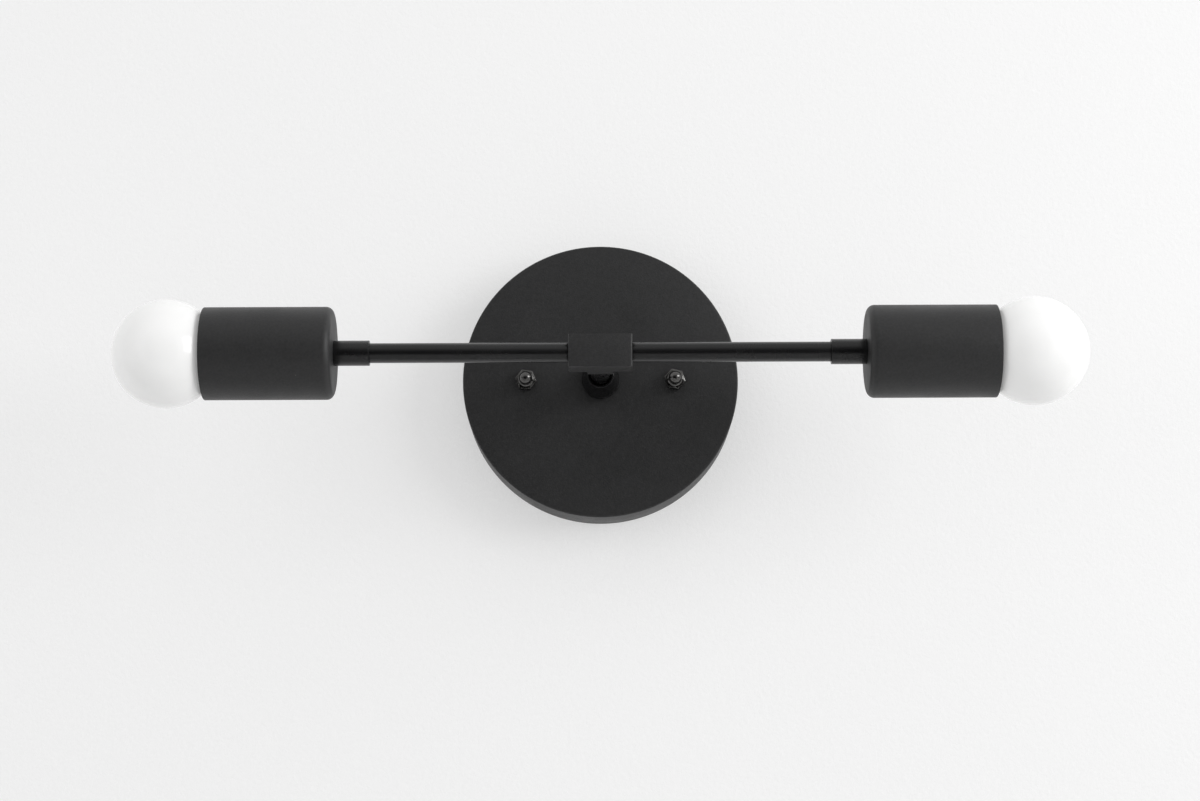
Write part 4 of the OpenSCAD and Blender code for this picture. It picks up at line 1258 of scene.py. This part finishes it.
def make_connectors():
    """Twist-on connectors: plain skirt, ribbed cone and a closed, rounded end."""
    parts = []
    for row in (-1, 1):
        mouth, end = SPLICE_REACH, SPLICE_REACH + CONNECTOR_LEN
        cone = mouth + CONNECTOR_SKIRT
        bore_end = mouth + CONNECTOR_BORE
        corners = [(0, bore_end, 0), (CONNECTOR_BORE_R, bore_end, ROUND_EDGE),
                   (CONNECTOR_BORE_R, mouth, SMALL_EDGE), (CONNECTOR_R, mouth, ROUND_EDGE)]
        for (radius, edge), rise in zip(CONNECTOR_CONE, (cone, end - CONNECTOR_TIP, end)):
            corners.append((radius, rise, edge))
        corners.append((0, end, 0))
        start, axis = Vector((0, -SPLICE_DEPTH, 0)), UP * row
        body = turned("connector", soft_outline(corners, closed=False), start, axis, CONNECTOR_RIBS * 6)

        def on_rib(face):
            rise = (face.center - start).dot(axis)
            angle = math.atan2(face.center.y - start.y, face.center.x)
            outwards = face.normal.dot(Vector((math.cos(angle), math.sin(angle), 0))) > 0.5
            on_cone = cone < rise < end - RIB_STOP
            return outwards and on_cone and angle * CONNECTOR_RIBS / math.tau % 1 < RIB_SHARE

        choose_faces(body, on_rib)
        bpy.ops.mesh.extrude_region_shrink_fatten(TRANSFORM_OT_shrink_fatten={"value": RIB_HEIGHT})
        bpy.ops.object.mode_set(mode="OBJECT")
        soften(body, BEVELLED_EDGE, angle=40)
        parts.append(body)
    join(parts, "twist_connectors")
    dress(parts[0], ORANGE, "wire_connectors")


make_canopy()
make_collar()
make_stem()
make_tee_block()
for side in SIDES:
    make_arm(side)
    make_coupling(side)
    make_cup(side)
    make_socket(side)
    make_screw_shell(side)
    make_globe(side)
    make_bulb_base(side)
    make_bulb_tip(side)
    make_cap_nut(side)
    make_dome(side)
    make_lead("black", side, 1, BLACK_SHEATH)
    make_lead("white", side, -1, WHITE_SHEATH)
    paint_node(f"glass_mount_{side}", CLEAR)
    paint_node(f"filament_{side}", NICKEL)
make_studs()
make_locknuts()
make_pressed_parts()
make_ground_wire()
make_connectors()


# Wall, floor, lamps and camera

def plaster(name, shade, glow):
    """Pale paint with a fine roller texture, lifted a little where it is seen. From behind it is clear."""
    finish = Finish(name, (shade, shade, shade), 0.7)
    finish.fine_grain(420.0, 0.0003)
    tree = finish.tree
    clear = tree.nodes.new("ShaderNodeBsdfTransparent")
    mix = tree.nodes.new("ShaderNodeMixShader")
    back = tree.nodes.new("ShaderNodeNewGeometry")
    ray = tree.nodes.new("ShaderNodeLightPath")
    white = add_node(tree, "ShaderNodeEmission", Color=(1, 1, 1, 1), Strength=1.0)
    lift = tree.nodes.new("ShaderNodeMixShader")
    seen = calculate(tree, "MAXIMUM", ray.outputs["Is Camera Ray"], ray.outputs["Is Glossy Ray"])
    seen = calculate(tree, "MAXIMUM", seen, ray.outputs["Is Transmission Ray"])
    tree.links.new(calculate(tree, "MULTIPLY", seen, glow), lift.inputs["Fac"])
    tree.links.new(finish.shader.outputs["BSDF"], lift.inputs[1])
    tree.links.new(white.outputs["Emission"], lift.inputs[2])
    tree.links.new(back.outputs["Backfacing"], mix.inputs["Fac"])
    tree.links.new(lift.outputs["Shader"], mix.inputs[1])
    tree.links.new(clear.outputs["BSDF"], mix.inputs[2])
    tree.links.new(mix.outputs["Shader"], tree.nodes["Material Output"].inputs["Surface"])
    return finish.material


def flat_sheet(name, size, place, upright, material):
    """Flat stage piece. Upright it faces out from the wall, otherwise up."""
    deselect()
    bpy.ops.mesh.primitive_plane_add(size=1, rotation=(math.radians(90) if upright else 0, 0, 0))
    sheet = bpy.context.object
    sheet.name = name
    sheet.scale = (*size, 1)
    sheet.location = place
    bpy.ops.object.transform_apply(location=True, rotation=True, scale=True)
    sheet.data.materials.append(material)
    return sheet


def painted_reflection_sheet(full_below, gone_above):
    """Painted dark reflection: a black sheet that thins out upwards, so that it ends softly in reflections.
    """
    material = bpy.data.materials.new("painted_reflection_sheet")
    material.use_nodes = True
    tree = material.node_tree
    spot = tree.nodes.new("ShaderNodeTexCoord")
    height = tree.nodes.new("ShaderNodeSeparateXYZ")
    fade = add_node(tree, "ShaderNodeMapRange", interpolation_type="SMOOTHSTEP")
    fade.inputs["From Min"].default_value = full_below
    fade.inputs["From Max"].default_value = gone_above
    clear = tree.nodes.new("ShaderNodeBsdfTransparent")
    black = add_node(tree, "ShaderNodeBsdfDiffuse", Color=(0.01, 0.01, 0.01, 1))
    mix = tree.nodes.new("ShaderNodeMixShader")
    tree.links.new(spot.outputs["Object"], height.inputs["Vector"])
    tree.links.new(height.outputs["Z"], fade.inputs["Value"])
    tree.links.new(fade.outputs["Result"], mix.inputs["Fac"])
    tree.links.new(black.outputs["BSDF"], mix.inputs[1])
    tree.links.new(clear.outputs["BSDF"], mix.inputs[2])
    tree.links.new(mix.outputs["Shader"], tree.nodes["Material Output"].inputs["Surface"])
    return material


def make_stage():
    """Wall, floor, and a painted dark reflection: a black sheet behind the camera that only gloss shows."""
    wall_size = 6.0
    wall_gap = 0.0002
    floor_depth = 2.6
    floor_drop = 1.4
    flat_sheet("wall", (wall_size, wall_size), (0, wall_gap, 0), True, plaster("pale_wall", 0.915, 0.42))
    flat_sheet("floor", (wall_size, floor_depth), (0, -floor_depth / 2, -floor_drop), False,
               plaster("pale_floor", 0.62, 0.0))
    reflection_width, reflection_aside, reflection_distance = 2.8, -0.3, 2.2
    reflection_low, reflection_high = -1.12, 2.4
    middle = (reflection_aside, -reflection_distance, (reflection_high + reflection_low) / 2)
    reflection_sheet = flat_sheet("painted_reflection_sheet", (reflection_width, reflection_high - reflection_low), middle, True,
                       painted_reflection_sheet(0.0, reflection_high))
    # Painted dark reflection: hidden from camera, diffuse, transmission and shadow rays, the sheet only
    # darkens what gloss reflects
    reflection_sheet.visible_camera = False
    reflection_sheet.visible_diffuse = False
    reflection_sheet.visible_transmission = False
    reflection_sheet.visible_shadow = False


def make_sky():
    """Even pale light from all round."""
    world = bpy.data.worlds.new("studio")
    world.use_nodes = True
    back = world.node_tree.nodes["Background"]
    back.inputs["Color"].default_value = (1, 1, 1, 1)
    back.inputs["Strength"].default_value = 0.66
    bpy.context.scene.world = world


def lamp(name, place, target, size, power, in_gloss=True):
    light = bpy.data.lights.new(name, "AREA")
    light.shape = "RECTANGLE"
    light.size, light.size_y = size
    light.energy = power
    holder = bpy.data.objects.new(name, light)
    holder.location = place
    holder.rotation_euler = (Vector(target) - Vector(place)).to_track_quat("-Z", "Y").to_euler()
    holder.visible_glossy = in_gloss
    bpy.context.scene.collection.objects.link(holder)


def make_camera():
    """The photograph's view: from a little below the bar, tilted up."""
    distance, drop = 1.2532, 0.2182
    tilt, roll, yaw = math.radians(99.635), math.radians(0.2), math.radians(0.045)
    data = bpy.data.cameras.new("camera")
    data.lens = 73.5
    data.sensor_width = 36
    camera = bpy.data.objects.new("camera", data)
    camera.location = (0, -distance, -drop)
    camera.rotation_euler = (tilt, roll, yaw)
    bpy.context.scene.collection.objects.link(camera)
    bpy.context.scene.camera = camera


make_stage()
make_sky()
lamp("window", (1.65, -1.1, 0.45), (0.1, -0.05, 0), (1.1, 1.1), 19)
lamp("fill", (-1.6, -1.6, 0.5), (0, -0.05, 0), (1.4, 1.4), 5, in_gloss=False)
make_camera()
bpy.context.scene.view_settings.view_transform = "Standard"
